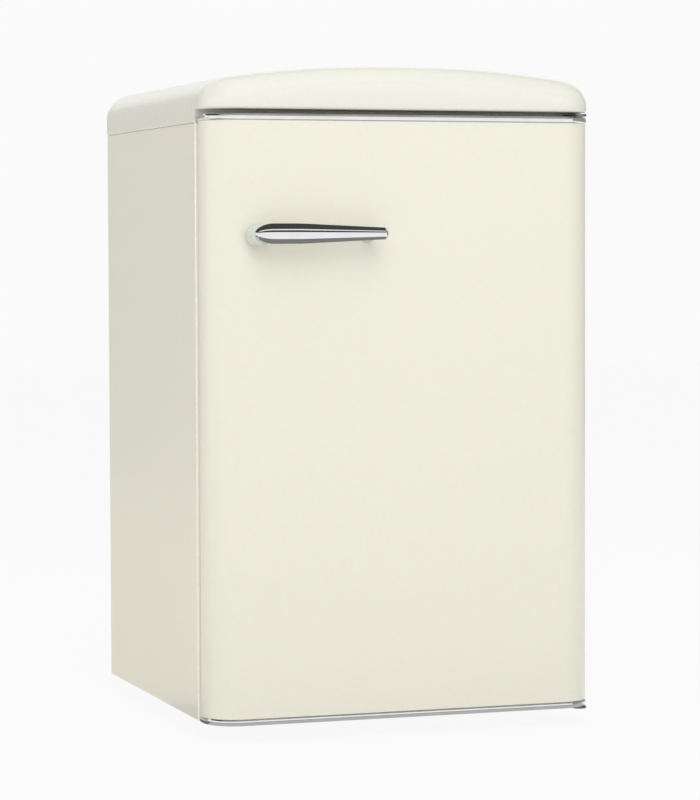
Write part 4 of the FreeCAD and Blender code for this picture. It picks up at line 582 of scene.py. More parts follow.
class NodeField:
    """A Geometry Nodes tree that repeats one small shape and is then turned into a plain mesh."""

    def __init__(self, name: str) -> None:
        """Start a tree with a way in and a way out for the geometry.

        Args:
            name: The piece's name.
        """
        self.name = name
        self.tree = bpy.data.node_groups.new(name + "_tree", "GeometryNodeTree")
        self.values: dict[str, object] = {}
        for way in ("INPUT", "OUTPUT"):
            self.tree.interface.new_socket("Geometry", in_out=way, socket_type="NodeSocketGeometry")
        self.entry = self.tree.nodes.new("NodeGroupInput")
        self.exit = self.tree.nodes.new("NodeGroupOutput")

    def size(self, label: str, kind: str, value: object) -> NodeSocket:
        """Add a named input.

        Args:
            label: The input's name.
            kind: Its socket type.
            value: What it is set to.

        Returns:
            The socket inside the tree.
        """
        socket = self.tree.interface.new_socket(label, in_out="INPUT", socket_type=kind)
        self.values[socket.identifier] = value
        return next(out for out in self.entry.outputs if out.identifier == socket.identifier)

    def link(self, source: NodeSocket, target: NodeSocket) -> None:
        """Join two sockets."""
        self.tree.links.new(source, target)

    def scatter(self, shape: NodeSocket) -> Node:
        """Put a shape on every point that the tree starts from.

        Args:
            shape: The socket with the shape.

        Returns:
            The node that holds the instances.
        """
        place = self.tree.nodes.new("GeometryNodeInstanceOnPoints")
        dots = self.tree.nodes.new("GeometryNodeMeshToPoints")
        self.link(self.entry.outputs["Geometry"], dots.inputs["Mesh"])
        self.link(dots.outputs["Points"], place.inputs["Points"])
        self.link(shape, place.inputs["Instance"])
        return place

    def bake(self, place: Node, finish: Finish, seed: Sequence[Vector]) -> Object:
        """Realise the instances, give them their finish and keep the plain mesh.

        Args:
            place: The node that holds the instances.
            finish: The finish of the result.
            seed: The points that the tree starts from.

        Returns:
            The plain piece.
        """
        real = self.tree.nodes.new("GeometryNodeRealizeInstances")
        dressed = self.tree.nodes.new("GeometryNodeSetMaterial")
        self.link(place.outputs["Instances"], real.inputs["Geometry"])
        self.link(real.outputs["Geometry"], dressed.inputs["Geometry"])
        self.link(self.size("Finish", "NodeSocketMaterial", finish.build()), dressed.inputs["Material"])
        self.link(dressed.outputs["Geometry"], self.exit.inputs["Geometry"])
        mesh = bpy.data.meshes.new(self.name)
        mesh.from_pydata([tuple(point) for point in seed], [], [])
        made = linked(self.name, mesh)
        modifier = made.modifiers.new("repeat", "NODES")
        modifier.node_group = self.tree
        for identifier, value in self.values.items():
            modifier[identifier] = value
        return shade(settled(made), FIELD_CREASE)


def upright_rods(
    name: str, spots: Sequence[Vector], radius: float, length: float, finish: Finish, sides: int = 8
) -> Object:
    """Stand one rod on each of many spots.

    Args:
        name: The piece's name.
        spots: The middle of each rod.
        radius: The rods' radius.
        length: The rods' length.
        finish: The rods' finish.
        sides: How many flats a rod has.

    Returns:
        The rods as one piece.
    """
    field = NodeField(name)
    rod = set_inputs(field.tree.nodes.new("GeometryNodeMeshCylinder"), {"Vertices": sides})
    rod.fill_type = "NGON"
    field.link(field.size("Radius", "NodeSocketFloat", radius), rod.inputs["Radius"])
    field.link(field.size("Length", "NodeSocketFloat", length), rod.inputs["Depth"])
    return field.bake(field.scatter(rod.outputs["Mesh"]), finish, spots)


def repeated(
    name: str, shape: Object, spots: Sequence[Vector], turn: Point, finish: Finish
) -> Object:
    """Repeat a small shape at many spots, and remove the shape itself.

    Args:
        name: The piece's name.
        shape: The shape, made about the origin.
        spots: Where the copies go.
        turn: The turn of every copy, in radians about X, Y and Z.
        finish: The copies' finish.

    Returns:
        The copies as one piece.
    """
    field = NodeField(name)
    info = field.tree.nodes.new("GeometryNodeObjectInfo")
    field.link(field.size("Shape", "NodeSocketObject", shape), info.inputs["Object"])
    turned_by = field.tree.nodes.new("FunctionNodeEulerToRotation")
    field.link(field.size("Turn", "NodeSocketVector", turn), turned_by.inputs["Euler"])
    place = field.scatter(info.outputs["Geometry"])
    field.link(turned_by.outputs["Rotation"], place.inputs["Rotation"])
    made = field.bake(place, finish, spots)
    bpy.data.objects.remove(shape)
    return made


def screw_head(radius: float, height: float) -> Object:
    """A domed screw head with a cross recess, standing on the origin along Z.

    Args:
        radius: The head's radius.
        height: The head's height.

    Returns:
        The head.
    """
    angles = around(SCREW_SIDES)
    dome = ((1.0, 0.0), (1.0, 0.25), (0.94, 0.6), (0.78, 0.86), (0.58, 0.98))
    recess_rises = (0.98, 0.45)
    recess_reach, recess_half, blade, least_sine = 0.56, 0.17, math.radians(16), 0.2

    def cross(angle: float) -> float:
        """How far the recess reaches at an angle.

        Args:
            angle: The angle.

        Returns:
            The reach, as a share of the head's radius.
        """
        turn = abs((angle + QUARTER / 2) % QUARTER - QUARTER / 2)
        if turn < blade:
            return recess_reach
        return min(recess_reach, recess_half / max(math.sin(turn), least_sine))

    rows = [([share] * len(angles), rise) for share, rise in dome]
    rows += [([cross(angle) for angle in angles], rise) for rise in recess_rises]
    rings = []
    for shares, rise in rows:
        rings.append([
            Vector((radius * share * math.cos(angle), radius * share * math.sin(angle), height * rise))
            for share, angle in zip(shares, angles)
        ])
    return lofted("screw_head", rings)


# Sub-assemblies


class Assembly:
    """A group of pieces that belong together and ride on a body."""

    body = "cabinet"

    def add(
        self, piece: Object, finish: Finish, *nodes: str, body: Optional[str] = None
    ) -> None:
        """Dress a piece and fix it to its body.

        Args:
            piece: The piece.
            finish: Its finish.
            nodes: The nodes that it stands for.
            body: The body that it rides on, where it isn't the assembly's own.
        """
        piece.data.materials.clear()
        piece.data.materials.append(finish.build())
        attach(piece, body or self.body)
        if nodes:
            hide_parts(*nodes)
        LOG.info("%s: %d faces on %s", piece.name, len(piece.data.polygons), body or self.body)

    def soften(self, finish: Finish, moving: bool = False, **widths: float) -> None:
        """Replace nodes by copies with rounded edges.

        Args:
            finish: The copies' finish.
            moving: Whether each node is a body by itself.
            widths: The rounding's width in millimetres for each node.
        """
        for node, width in widths.items():
            self.add(softened(node, width * MM), finish, node, body=node if moving else None)

    def paint(self, node: str, finish: Finish) -> None:
        """Give a node that stays as it is a finish.

        Args:
            node: The node's name.
            finish: Its finish.
        """
        target = NODES[node]
        if not target.material_slots:
            target.data.materials.append(finish.build())
        for slot in target.material_slots:
            slot.material = finish.build()
        LOG.info("%s: painted %s", node, finish.name)


@dataclass
class Cabinet(Assembly):
    """The painted wrap and the sheets that close the cabinet."""

    edge_radius: float = 6.0 * MM
    # Where the painted highlight strip lies on the wrap's rounded front edge.
    highlight_proud: float = 0.15 * MM
    highlight_inset: float = 1.5 * MM
    highlight_start: float = 8.0
    highlight_turn: float = 30.0
    highlight_steps: int = 8
    screw_radius: float = 4.2 * MM
    screw_height: float = 2.2 * MM
    screw_inset: float = 9.0 * MM
    screw_margin: float = 20.0 * MM
    screw_rows: int = 5

    def build(self) -> None:
        """Build the cabinet's outside."""
        self.soften(ENAMEL, cabinet_wrap=0.25, front_rail=0.2)
        self.soften(ZINC, base_pan=0.25, compressor_tray=0.4, back_panel=0.2)
        self.soften(BLACK_PLASTIC, mains_gland=0.5)
        self.paint("insulation_foam", FOAM)
        self._panel_screws()
        # A painted highlight strip on each rounded front edge of the wrap.
        for side, sign in (("left", -1), ("right", 1)):
            self._edge_bead(side, sign)

    def _edge_bead(self, side: str, sign: int) -> None:
        """Lay a thin pale strip over the wrap's rounded front edge, a painted highlight where the bend
        catches the light.

        Args:
            side: The side's name.
            sign: Which way the side lies along X.
        """
        low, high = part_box("cabinet_wrap")
        centre = Vector((sign * (high.x - self.edge_radius), low.y + self.edge_radius, 0.0))
        start = 270.0 + sign * (90.0 - self.highlight_start)
        reach = self.edge_radius + self.highlight_proud
        path = arc(centre, reach, start, start - sign * self.highlight_turn, self.highlight_steps)
        inside, foot, head = -2.0 * self.highlight_proud, low.z + self.highlight_inset, high.z - self.highlight_inset
        profile = ((inside, foot), (0.0, foot), (0.0, head), (inside, head))
        self.add(shade(plan_sweep(f"{side}_edge_bead", path, profile), PIECE_CREASE), EDGE_HIGHLIGHT)

    def _panel_screws(self) -> None:
        """Screw the back panel along its two upright edges."""
        low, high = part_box("back_panel")
        columns = (low.x + self.screw_inset, high.x - self.screw_inset)
        heights = spread(low.z + self.screw_margin, high.z - self.screw_margin, self.screw_rows - 1)
        spots = [Vector((x, high.y, z)) for z in heights for x in columns]
        head = screw_head(self.screw_radius, self.screw_height)
        self.add(repeated("panel_screws", head, spots, FACING_BACK, PLATED), PLATED)


@dataclass
class Lid(Assembly):
    """The domed lid over the cabinet and the door."""

    crown: float = 22.5 * MM
    edge_radius: float = 30.0 * MM
    edge_steps: int = 14
    corner_radius: float = 48.0 * MM
    least_corner: float = 0.1 * MM
    corner_steps: int = 22
    rear_corner: float = 5.0 * MM
    rear_radius: float = 66.0 * MM
    rear_lift: float = -0.5 * MM
    rear_blend: float = 5.0 * MM
    rear_fine: float = 12.0 * MM
    step_half: float = 0.05 * MM
    side_steps: tuple[int, ...] = (6, 1, 14, 14, 8)
    across_steps: int = 60
    lip_rise: float = 17.5 * MM
    lip_round: float = 3.0 * MM
    lip_shape: tuple[tuple[float, float], ...] = ((1.0, 0.0), (0.3, 0.3), (0.0, 1.0))
    seat: float = 0.2 * MM
    screw_height: float = 2.0 * MM
    screw_clearance: float = 0.1 * MM
    top_rings: int = 26
    crease: float = 50.0

    def build(self) -> None:
        """Build the lid and its screws."""
        self.low, self.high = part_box("top_lid")
        self.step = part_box("cabinet_wrap")[0].y
        self.half = self.high.x
        self.dome = (self.half ** 2 + self.crown ** 2) / (2 * self.crown)
        self.add(self._shell(), LID_ENAMEL, "top_lid")
        low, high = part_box("lid_screws")
        middle = (low.z + high.z) / 2
        radius = high.z - middle
        seat = self.high.y - self.screw_height - self.screw_clearance
        spots = [Vector((x, seat, middle)) for x in (low.x + radius, high.x - radius)]
        head = screw_head(radius, self.screw_height)
        self.add(repeated("lid_screw_heads", head, spots, FACING_BACK, PLATED), PLATED, "lid_screws")

    def _top(self, place: Vector, drop: float) -> Vector:
        """The outside over a place in plan, with the fall to the rear.

        Args:
            place: The place.
            drop: How far the rounded edge lies below the dome there.

        Returns:
            The point on the outside.
        """
        across, radius = min(abs(place.x), self.half), self.rear_radius
        height = self.high.z - self.dome + math.sqrt(self.dome ** 2 - across ** 2) - drop
        past = min(radius, max(0.0, place.y - self.high.y + radius))
        rear = self.high.z + self.rear_lift - radius + math.sqrt(radius ** 2 - past ** 2)
        share = max(0.0, self.rear_blend - abs(height - rear)) / self.rear_blend
        return Vector((place.x, place.y, min(height, rear) - share ** 2 * self.rear_blend / 4))

    def _outline(self, inset: float) -> list[Vector]:
        """The lid's plan, drawn in at the front and sides.

        Args:
            inset: How far it is drawn in.

        Returns:
            The outline's points, always the same number of them.
        """
        half, front, rear, back = self.half - inset, self.low.y + inset, self.high.y, self.rear_corner
        corner = max(self.corner_radius - inset, self.least_corner)
        breaks = (
            front + corner, self.step - self.step_half, self.step + self.step_half, rear - self.rear_radius,
            rear - self.rear_fine, rear - back,
        )
        side: list[float] = []
        for start, end, count in zip(breaks, breaks[1:], self.side_steps):
            side += spread(start, end, count)[:-1]
        front_bend = arc(Vector((half - corner, front + corner, 0.0)), corner, 270, 360, self.corner_steps)
        rear_bend = arc(Vector((half - back, rear - back, 0.0)), back, 0, 90, REAR_STEPS)
        right = [place for place, _ in front_bend[:-1]]
        right += [Vector((half, y, 0.0)) for y in side]
        right += [place for place, _ in rear_bend]
        left = [Vector((-place.x, place.y, 0.0)) for place in reversed(right)]
        rear_run = spread(half - back, back - half, self.across_steps)[1:-1]
        front_run = spread(corner - half, half - corner, self.across_steps)[1:-1]
        rear_edge = [Vector((x, rear, 0.0)) for x in rear_run]
        return right + rear_edge + left + [Vector((x, front, 0.0)) for x in front_run]

    def _underside(self, outline: Sequence[Vector]) -> list[list[int]]:
        """Close the lid underneath, with a step where the door's overhang begins.

        Args:
            outline: The lid's outline.

        Returns:
            The faces, as indices of the outline's points.
        """
        front = [index for index, place in enumerate(outline) if place.y < self.step]
        rear = [index for index, place in enumerate(outline) if place.y >= self.step]
        gap = next(i for i, (here, after) in enumerate(zip(front, front[1:])) if after - here > 1)
        return [front, rear, [front[gap], front[gap + 1], rear[-1], rear[0]]]

    def _shell(self) -> Object:
        """Lay the lid's outside as rings from its lower edge to the crest, and close it underneath.

        Returns:
            The shell.
        """
        rings: list[list[Vector]] = []
        outline = self._outline(0.0)
        edge = [self.low.z + (self.lip_rise if place.y < self.step else self.seat) for place in outline]
        for inset, rise in self.lip_shape:
            ring = self._outline(inset * self.lip_round)
            rings.append([Vector((p.x, p.y, foot + rise * self.lip_round)) for p, foot in zip(ring, edge)])
        for angle in spread(0.0, QUARTER, self.edge_steps):
            inset = self.edge_radius * (1.0 - math.cos(angle))
            drop = self.edge_radius * (1.0 - math.sin(angle))
            rings.append([self._top(place, drop) for place in self._outline(inset)])
        inner = self._outline(self.edge_radius)
        middle = Vector((0.0, (self.low.y + self.high.y) / 2, 0.0))
        for step in range(1, self.top_rings):
            share = 1.0 - (step / self.top_rings) ** 2
            rings.append([self._top(middle + (place - middle) * share, 0.0) for place in inner])
        sides = len(inner)
        points = [point for ring in rings for point in ring] + [self._top(middle, 0.0)]
        last, crest = (len(rings) - 1) * sides, len(points) - 1
        faces = tube_faces(len(rings), sides, Ends.OPEN)
        faces += [[last + side, last + (side + 1) % sides, crest] for side in range(sides)]
        faces += self._underside(outline)
        return shade(mesh_object("lid_shell", points, faces), self.crease)


@dataclass
class Door(Assembly):
    """The door with its skin, trims, seal and inner moulding."""

    body = "door"
    corner: float = 45.0 * MM
    rear_radius: float = 4.0 * MM
    rear_lip: float = 1.0 * MM
    sheet: float = 1.0 * MM
    hem: float = 0.35 * MM
    skin_crease: float = 35.0
    trim_thickness: float = 2.5 * MM
    trim_proud: float = 1.5 * MM
    trim_fall: float = 0.9
    trim_power: float = 0.9
    trim_steps: int = 12
    seal_width: float = 18.0 * MM
    seal_corner: float = 7.0 * MM
    seal_steps: int = 5
    folds: tuple[tuple[float, float], ...] = (
        (3.0, 0.0), (15.0, 0.0), (15.0, 0.16), (17.0, 0.22), (17.0, 0.34), (14.6, 0.40), (14.6, 0.48),
        (18.0, 0.56), (18.0, 0.94), (17.2, 1.0), (0.8, 1.0), (0.0, 0.94), (0.0, 0.56), (3.4, 0.48),
        (3.4, 0.40), (1.0, 0.34), (1.0, 0.22), (3.0, 0.16),
    )

    def build(self) -> None:
        """Build the door."""
        self._skin()
        self.soften(LID_ENAMEL, door_top_cap=0.4, door_bottom_cap=0.4)
        for node in ("door_top_trim", "door_bottom_trim"):
            self._trim(node)
        self.soften(WHITE_MOULDING, door_liner=0.8)
        self.soften(BEARING, hinge_bushes=0.3)
        self._gasket()
        self.paint("door_foam", FOAM)

    def _skin(self) -> None:
        """Bend the skin round the door, with its edges hemmed."""
        low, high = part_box("door_skin")
        path = door_path(high.x, low.y, high.y, self.corner, self.rear_radius, self.rear_lip)
        hem, sheet = self.hem, self.sheet
        profile = (
            (-hem, low.z), (0.0, low.z + hem), (0.0, high.z - hem), (-hem, high.z),
            (-sheet + hem, high.z), (-sheet, high.z - hem), (-sheet, low.z + hem), (-sheet + hem, low.z),
        )
        skin = plan_sweep("door_skin_fine", path, profile)
        self.add(shade(skin, self.skin_crease), ENAMEL, "door_skin")

    def _trim(self, node: str) -> None:
        """Sweep a bright strip with a rounded face round the door.

        Args:
            node: The strip's node.
        """
        low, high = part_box(node)
        path = door_path(high.x, low.y, high.y, self.corner + self.trim_proud, 0.0, 0.0)
        tall, thick = high.z - low.z, self.trim_thickness
        profile = [(-thick, low.z)]
        for angle in spread(-QUARTER, QUARTER, self.trim_steps):
            swell = max(0.0, math.cos(angle)) ** self.trim_power
            height = low.z + tall * (0.5 + 0.5 * math.sin(angle))
            profile.append((-thick * self.trim_fall * (1.0 - swell), height))
        profile.append((-thick, high.z))
        self.add(shade(plan_sweep(node + "_fine", path, profile), PIECE_CREASE), CHROME, node)

    def _gasket(self) -> None:
        """Fold the seal round the door as bellows with a magnet strip in front of them."""
        low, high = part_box("door_gasket")
        reach = self.seal_corner + self.seal_width
        left, right, foot, head = low.x + reach, high.x - reach, low.z + reach, high.z - reach
        rings = []
        for quarter, (x, z) in enumerate(((right, head), (left, head), (left, foot), (right, foot))):
            for angle in spread(quarter * QUARTER, (quarter + 1) * QUARTER, self.seal_steps):
                ring = []
                for inset, share in self.folds:
                    out = reach - inset * MM
                    depth = low.y + (high.y - low.y) * share
                    ring.append(Vector((x + out * math.cos(angle), depth, z + out * math.sin(angle))))
                rings.append(ring)
        seal = lofted("door_gasket_fine", rings, Ends.JOINED)
        self.add(shade(seal, PIECE_CREASE), SEAL, "door_gasket")


@dataclass
class Handle(Assembly):
    """The tapered bar handle on its boss and post."""

    body = "door"
    nose: float = 25.0 * MM
    nose_power: float = 1.9
    nose_ease: float = 0.56
    nose_steps: int = 16
    straight: float = 61.0 * MM
    run_steps: int = 40
    tail: float = 8.0 * MM
    tail_power: float = 2.2
    tail_steps: int = 12
    least: float = 0.02 * MM
    thick: tuple[float, float] = (27.0 * MM, 22.0 * MM)
    thin: tuple[float, float] = (16.0 * MM, 14.0 * MM)
    section: tuple[tuple[float, float], ...] = (
        (0.0, 1.0), (0.10, 1.0), (0.18, 0.998), (0.255, 0.985), (0.556, 0.7125), (0.858, 0.44),
        (0.9125, 0.33), (0.977, 0.14), (0.994, 0.02), (1.0, -0.10), (0.995, -0.22), (0.98, -0.37),
        (0.945, -0.52), (0.76, -0.75), (0.575, -0.98), (0.50, -1.0), (0.28, -1.0), (0.0, -1.0),
        (-0.32, -0.96), (-0.62, -0.82), (-0.85, -0.56), (-0.97, -0.28), (-1.0, 0.0), (-0.97, 0.28),
        (-0.85, 0.56), (-0.62, 0.82), (-0.32, 0.96),
    )
    creases: tuple[int, ...] = (3, 5, 6, 7, 12, 14)
    bar_crease: float = 60.0
    boss_radius: float = 15.0 * MM
    boss_steps: int = 8
    post_flare: float = 3.0 * MM
    post_sides: int = 40

    def build(self) -> None:
        """Build the handle."""
        low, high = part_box("handle_bar")
        self.axis = Vector((0.0, (low.y + high.y) / 2, (low.z + high.z) / 2))
        self.left, self.right = low.x, high.x
        screws_low, screws_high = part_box("handle_screws")
        self.level = (screws_low.z + screws_high.z) / 2
        self.add(self._bar(), CHROME, "handle_bar")
        # The boss takes cream darkened as painted shade.
        self.add(self._boss(), SHADED_BOSS_CREAM, "handle_boss")
        self.add(self._post(), CHROME, "handle_post")
        self.soften(PLATED, handle_screws=0.2)

    def _halves(self, x: float) -> list[float]:
        """Half the bar's height and depth at a place along it.

        Args:
            x: The place.

        Returns:
            The two halves.
        """
        taper = self.right - self.tail - self.left - self.straight
        share = min(1.0, max(0.0, (x - self.left - self.straight) / taper))
        scale = 1.0
        if x < self.left + self.nose:
            ahead = (self.left + self.nose - x) / self.nose
            scale = max(0.0, 1.0 - ahead ** self.nose_power) ** self.nose_ease
        elif x > self.right - self.tail:
            past = (x - self.right + self.tail) / self.tail
            scale = math.sqrt(max(0.0, 1.0 - past ** self.tail_power))
        full = [a + (b - a) * share for a, b in zip(self.thick, self.thin)]
        return [max(size / 2 * scale, self.least) for size in full]

    def _bar(self) -> Object:
        """Loft the bar from its bullet nose to its rounded tail.

        Returns:
            The bar.
        """
        start, end = self.left + self.nose, self.right - self.tail
        places = [start - self.nose * math.cos(turn) for turn in spread(0.0, QUARTER, self.nose_steps)]
        places += spread(start, end, self.run_steps)[1:]
        places += [end + self.tail * math.sin(turn) for turn in spread(0.0, QUARTER, self.tail_steps)[1:]]
        rings = []
        for x in places:
            tall, deep = self._halves(x)
            ring = [(self.axis.y - deep * out, self.axis.z + tall * up) for out, up in self.section]
            rings.append([Vector((x, y, z)) for y, z in ring])
        bar = shade(lofted("handle_bar_fine", rings), self.bar_crease)
        for edge in bar.data.edges:
            columns = {vertex % len(self.section) for vertex in edge.vertices}
            if len(columns) == 1 and columns & set(self.creases):
                edge.use_edge_sharp = True
        return bar

    def _stand(self, x: float, y: float) -> Matrix:
        """The frame of a support that rises from the door's front."""
        return Matrix.Translation(Vector((x, y, self.level))) @ Matrix.Rotation(QUARTER, 4, "X")

    def _boss(self) -> Object:
        """Turn the boss from a flared foot on the door up into the bar.

        Returns:
            The boss.
        """
        low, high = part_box("handle_boss")
        base, rise = self.boss_radius, high.y - self.axis.y
        profile = [(0.0, 0.0), (base, 0.0), (base, 0.9 * MM), (base - 0.35 * MM, 2.2 * MM)]
        for share in spread(0.0, 1.0, self.boss_steps)[1:]:
            profile.append((base - 0.5 * MM - 1.6 * MM * share, 2.2 * MM + (rise - 4.0 * MM) * share))
        profile += [(base - 3.4 * MM, rise - 0.6 * MM), (0.0, rise)]
        return shade(turned("handle_boss_fine", profile, self._stand(low.x + base, high.y)), PIECE_CREASE)

    def _post(self) -> Object:
        """Turn the post with a small flared foot.

        Returns:
            The post.
        """
        low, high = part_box("handle_post")
        radius, rise = (high.z - low.z) / 2, high.y - self.axis.y
        foot = radius + self.post_flare
        profile = (
            (0.0, 0.0), (foot, 0.0), (foot, 1.6 * MM), (foot - 0.8 * MM, 2.4 * MM), (radius, 5.0 * MM),
            (radius - 1.4 * MM, rise * 0.6), (radius - 1.2 * MM, rise), (0.0, rise),
        )
        stand = self._stand((low.x + high.x) / 2, high.y)
        return shade(turned("handle_post_fine", profile, stand, self.post_sides), PIECE_CREASE)


@dataclass
class Hinges(Assembly):
    """The brackets, pins and screws that carry the door."""

    def build(self) -> None:
        """Build the hinges."""
        # The brackets take steel darkened as painted shade.
        self.soften(SHADED_HINGE_STEEL, upper_hinge_bracket=0.5, lower_hinge_bracket=0.5)
        self.soften(PLATED, hinge_pins=0.5, hinge_screws=0.5)


@dataclass
class Inside(Assembly):
    """The liner, the shelves, the crisper, the racks and the controls."""

    rib_radius: float = 1.3 * MM
    rib_sunk: float = 0.6
    rib_inset: float = 16.0 * MM
    rib_count: int = 19
    rib_sides: int = 12
    knob_thick: float = 12.0 * MM
    knob_sides: int = 64
    stem_radius: float = 3.0 * MM
    stem_length: float = 9.0 * MM
    grip_count: int = 28
    grip_inset: float = 0.75 * MM
    grip_middle: float = 6.0 * MM
    grip_sides: int = 8
    grip_shape: tuple[tuple[float, float], ...] = (
        (0.0, -4.4 * MM), (0.65 * MM, -4.0 * MM), (0.65 * MM, 4.0 * MM), (0.0, 4.4 * MM),
    )
    mark_low: Point = (0.9 * MM, -0.7 * MM, 3.0 * MM)
    mark_high: Point = (1.7 * MM, 0.7 * MM, 11.0 * MM)
    mark_round: float = 0.25 * MM

    def build(self) -> None:
        """Build what the door closes in."""
        self.add(shade(node_copy("inner_liner"), NODE_CREASE), WHITE_MOULDING, "inner_liner")
        self.soften(GLASS, upper_shelf_glass=0.6, middle_shelf_glass=0.6, lower_shelf_glass=0.6)
        self.soften(WHITE_SMALL, shelf_rails=1.2, shelf_trims=0.7, thermostat_housing=0.7, drain_tube=0.3)
        self.soften(WHITE_SMALL, moving=True, light_switch_plunger=0.8)
        self.soften(FROSTED, lamp_cover=1.2)
        self.soften(CLEAR_MOULDING, moving=True, crisper_drawer=0.8)
        self.soften(CLEAR_MOULDING, moving=True, upper_rack=0.9, middle_rack=0.9, bottle_rack=0.9)
        for rack in ("upper_rack", "middle_rack", "bottle_rack"):
            self._rack_ribs(rack)
        self.paint("evaporator_plate", ALUMINIUM)
        self._knob()

    def _rack_ribs(self, rack: str) -> None:
        """Stand upright ribs along a rack's wall on the side of the shelves.

        Args:
            rack: The rack's name, which is also its body.
        """
        low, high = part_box(rack)
        y, z = high.y - self.rib_sunk * self.rib_radius, (low.z + high.z) / 2
        row = spread(low.x + self.rib_inset, high.x - self.rib_inset, self.rib_count - 1)
        spots = [Vector((x, y, z)) for x in row]
        length = high.z - low.z - self.rib_inset
        ribs = upright_rods(f"{rack}_ribs", spots, self.rib_radius, length, CLEAR_MOULDING, self.rib_sides)
        self.add(ribs, CLEAR_MOULDING, body=rack)

    def _knob(self) -> None:
        """Turn the thermostat knob, ribbed round its rim, with a mark for its setting."""
        body = "thermostat_knob"
        low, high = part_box(body)
        face = Vector((low.x, (low.y + high.y) / 2, (low.z + high.z) / 2))
        radius, thick, stem = (high.z - low.z) / 2, self.knob_thick, self.stem_radius
        profile = (
            (0.0, -self.stem_length), (stem, -self.stem_length), (stem, 0.0), (radius - 0.8 * MM, 0.0),
            (radius - 0.5 * MM, 0.8 * MM), (radius - 1.0 * MM, thick - 2.0 * MM),
            (radius - 2.4 * MM, thick - 0.6 * MM), (radius - 4.0 * MM, thick - 0.3 * MM),
            (radius - 5.0 * MM, thick - 1.4 * MM), (0.0, thick - 1.4 * MM),
        )
        back = Matrix.Translation(face + Vector((thick, 0.0, 0.0)))
        knob = turned(f"{body}_fine", profile, back @ Matrix.Rotation(-QUARTER, 4, "Y"), self.knob_sides)
        self.add(shade(knob, PIECE_CREASE), WHITE_SMALL, body, body=body)
        reach = radius - self.grip_inset
        turns = [(reach * math.cos(angle), reach * math.sin(angle)) for angle in around(self.grip_count)]
        spots = [face + Vector((self.grip_middle, y, z)) for y, z in turns]
        rib = turned("knob_rib", self.grip_shape, Matrix(), self.grip_sides)
        self.add(repeated(f"{body}_ribs", rib, spots, ALONG_X, WHITE_SMALL), WHITE_SMALL, body=body)
        mark_ends = (face + Vector(self.mark_low), face + Vector(self.mark_high))
        self.add(block(f"{body}_mark", *mark_ends, self.mark_round), DIAL_PRINT, body=body)


@dataclass
class Standing(Assembly):
    """The levelling feet at the front and the rollers at the back."""

    def build(self) -> None:
        """Build the feet and rollers."""
        self.soften(PLATED, base_fasteners=0.3, roller_axles=0.4)
        self.soften(RUBBER, moving=True, left_foot_pad=0.5, right_foot_pad=0.5)
        self.soften(PLATED, moving=True, left_foot_stud=0.3, right_foot_stud=0.3)
        self.soften(BLACK_PLASTIC, moving=True, left_rear_roller=0.8, right_rear_roller=0.8)


@dataclass
class Cooling(Assembly):
    """The compressor and the pipes and coils that it feeds."""

    wire_radius: float = 0.8 * MM
    wire_count: int = 20

    def build(self) -> None:
        """Build the cooling circuit."""
        self.soften(BLACK_PAINT, compressor_shell=0.8, condenser_tube=0.0)
        self.soften(ZINC, compressor_legs=0.5)
        self.soften(RUBBER, compressor_grommets=0.8)
        self.soften(BLACK_PLASTIC, relay_box=1.2, drip_tray=0.6)
        self.soften(PLATED, condenser_brackets=0.3)
        self.soften(COPPER, filter_drier=0.4, refrigerant_pipes=0.0)
        self._wires()

    def _wires(self) -> None:
        """Stand the condenser's wires on both sides of its tube."""
        low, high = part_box("condenser_wires")
        radius, z = self.wire_radius, (low.z + high.z) / 2
        row = spread(low.x + radius, high.x - radius, self.wire_count - 1)
        spots = [Vector((x, y, z)) for x in row for y in (low.y + radius, high.y - radius)]
        wires = upright_rods("condenser_wires_fine", spots, radius, high.z - low.z, BLACK_PAINT)
        self.add(wires, BLACK_PAINT, "condenser_wires")


# Studio

COOL = (1.0, 1.0, 0.94)
WARM = (1.0, 0.975, 0.86)
MATT = 0.9


@dataclass(frozen=True)
class Lamp:
    """A soft square lamp that points at a height on the refrigerator's middle line."""

    name: str
    place: Point
    aim: float
    side: float
    power: float

    def hang(self) -> None:
        """Hang the lamp, out of what bright surfaces mirror."""
        light = bpy.data.lights.new(self.name, "AREA")
        light.size = self.side
        light.energy = self.power
        lamp = linked(self.name, light)
        lamp.location = self.place
        lamp.visible_glossy = False
        sight = Vector((0.0, 0.0, self.aim)) - Vector(self.place)
        lamp.rotation_euler = sight.to_track_quat("-Z", "Y").to_euler()


@dataclass(frozen=True)
class Card:
    """A plain level or upright card between two corners, which only bright surfaces mirror."""

    name: str
    low: Point
    high: Point
    level: float
    tint: Colour = COOL

    def hang(self) -> None:
        """Hang the card."""
        axis = 0 if self.low[0] != self.high[0] else 1
        second, fourth = list(self.low), list(self.high)
        second[axis], fourth[axis] = self.high[axis], self.low[axis]
        corners = [Vector(corner) for corner in (self.low, second, self.high, fourth)]
        card = mesh_object(self.name, corners, [[0, 1, 2, 3]])
        made = bpy.data.materials.new(self.name)
        made.use_nodes = True
        set_inputs(made.node_tree.nodes["Principled BSDF"], {
            "Base Color": (0.0, 0.0, 0.0, 1.0), "Specular IOR Level": 0.0, "Roughness": MATT,
            "Emission Color": (*(self.level * share for share in self.tint), 1.0), "Emission Strength": 1.0,
        })
        card.data.materials.append(made)
        card.visible_camera = False
        card.visible_diffuse = False
        card.visible_shadow = False
        card.visible_transmission = False


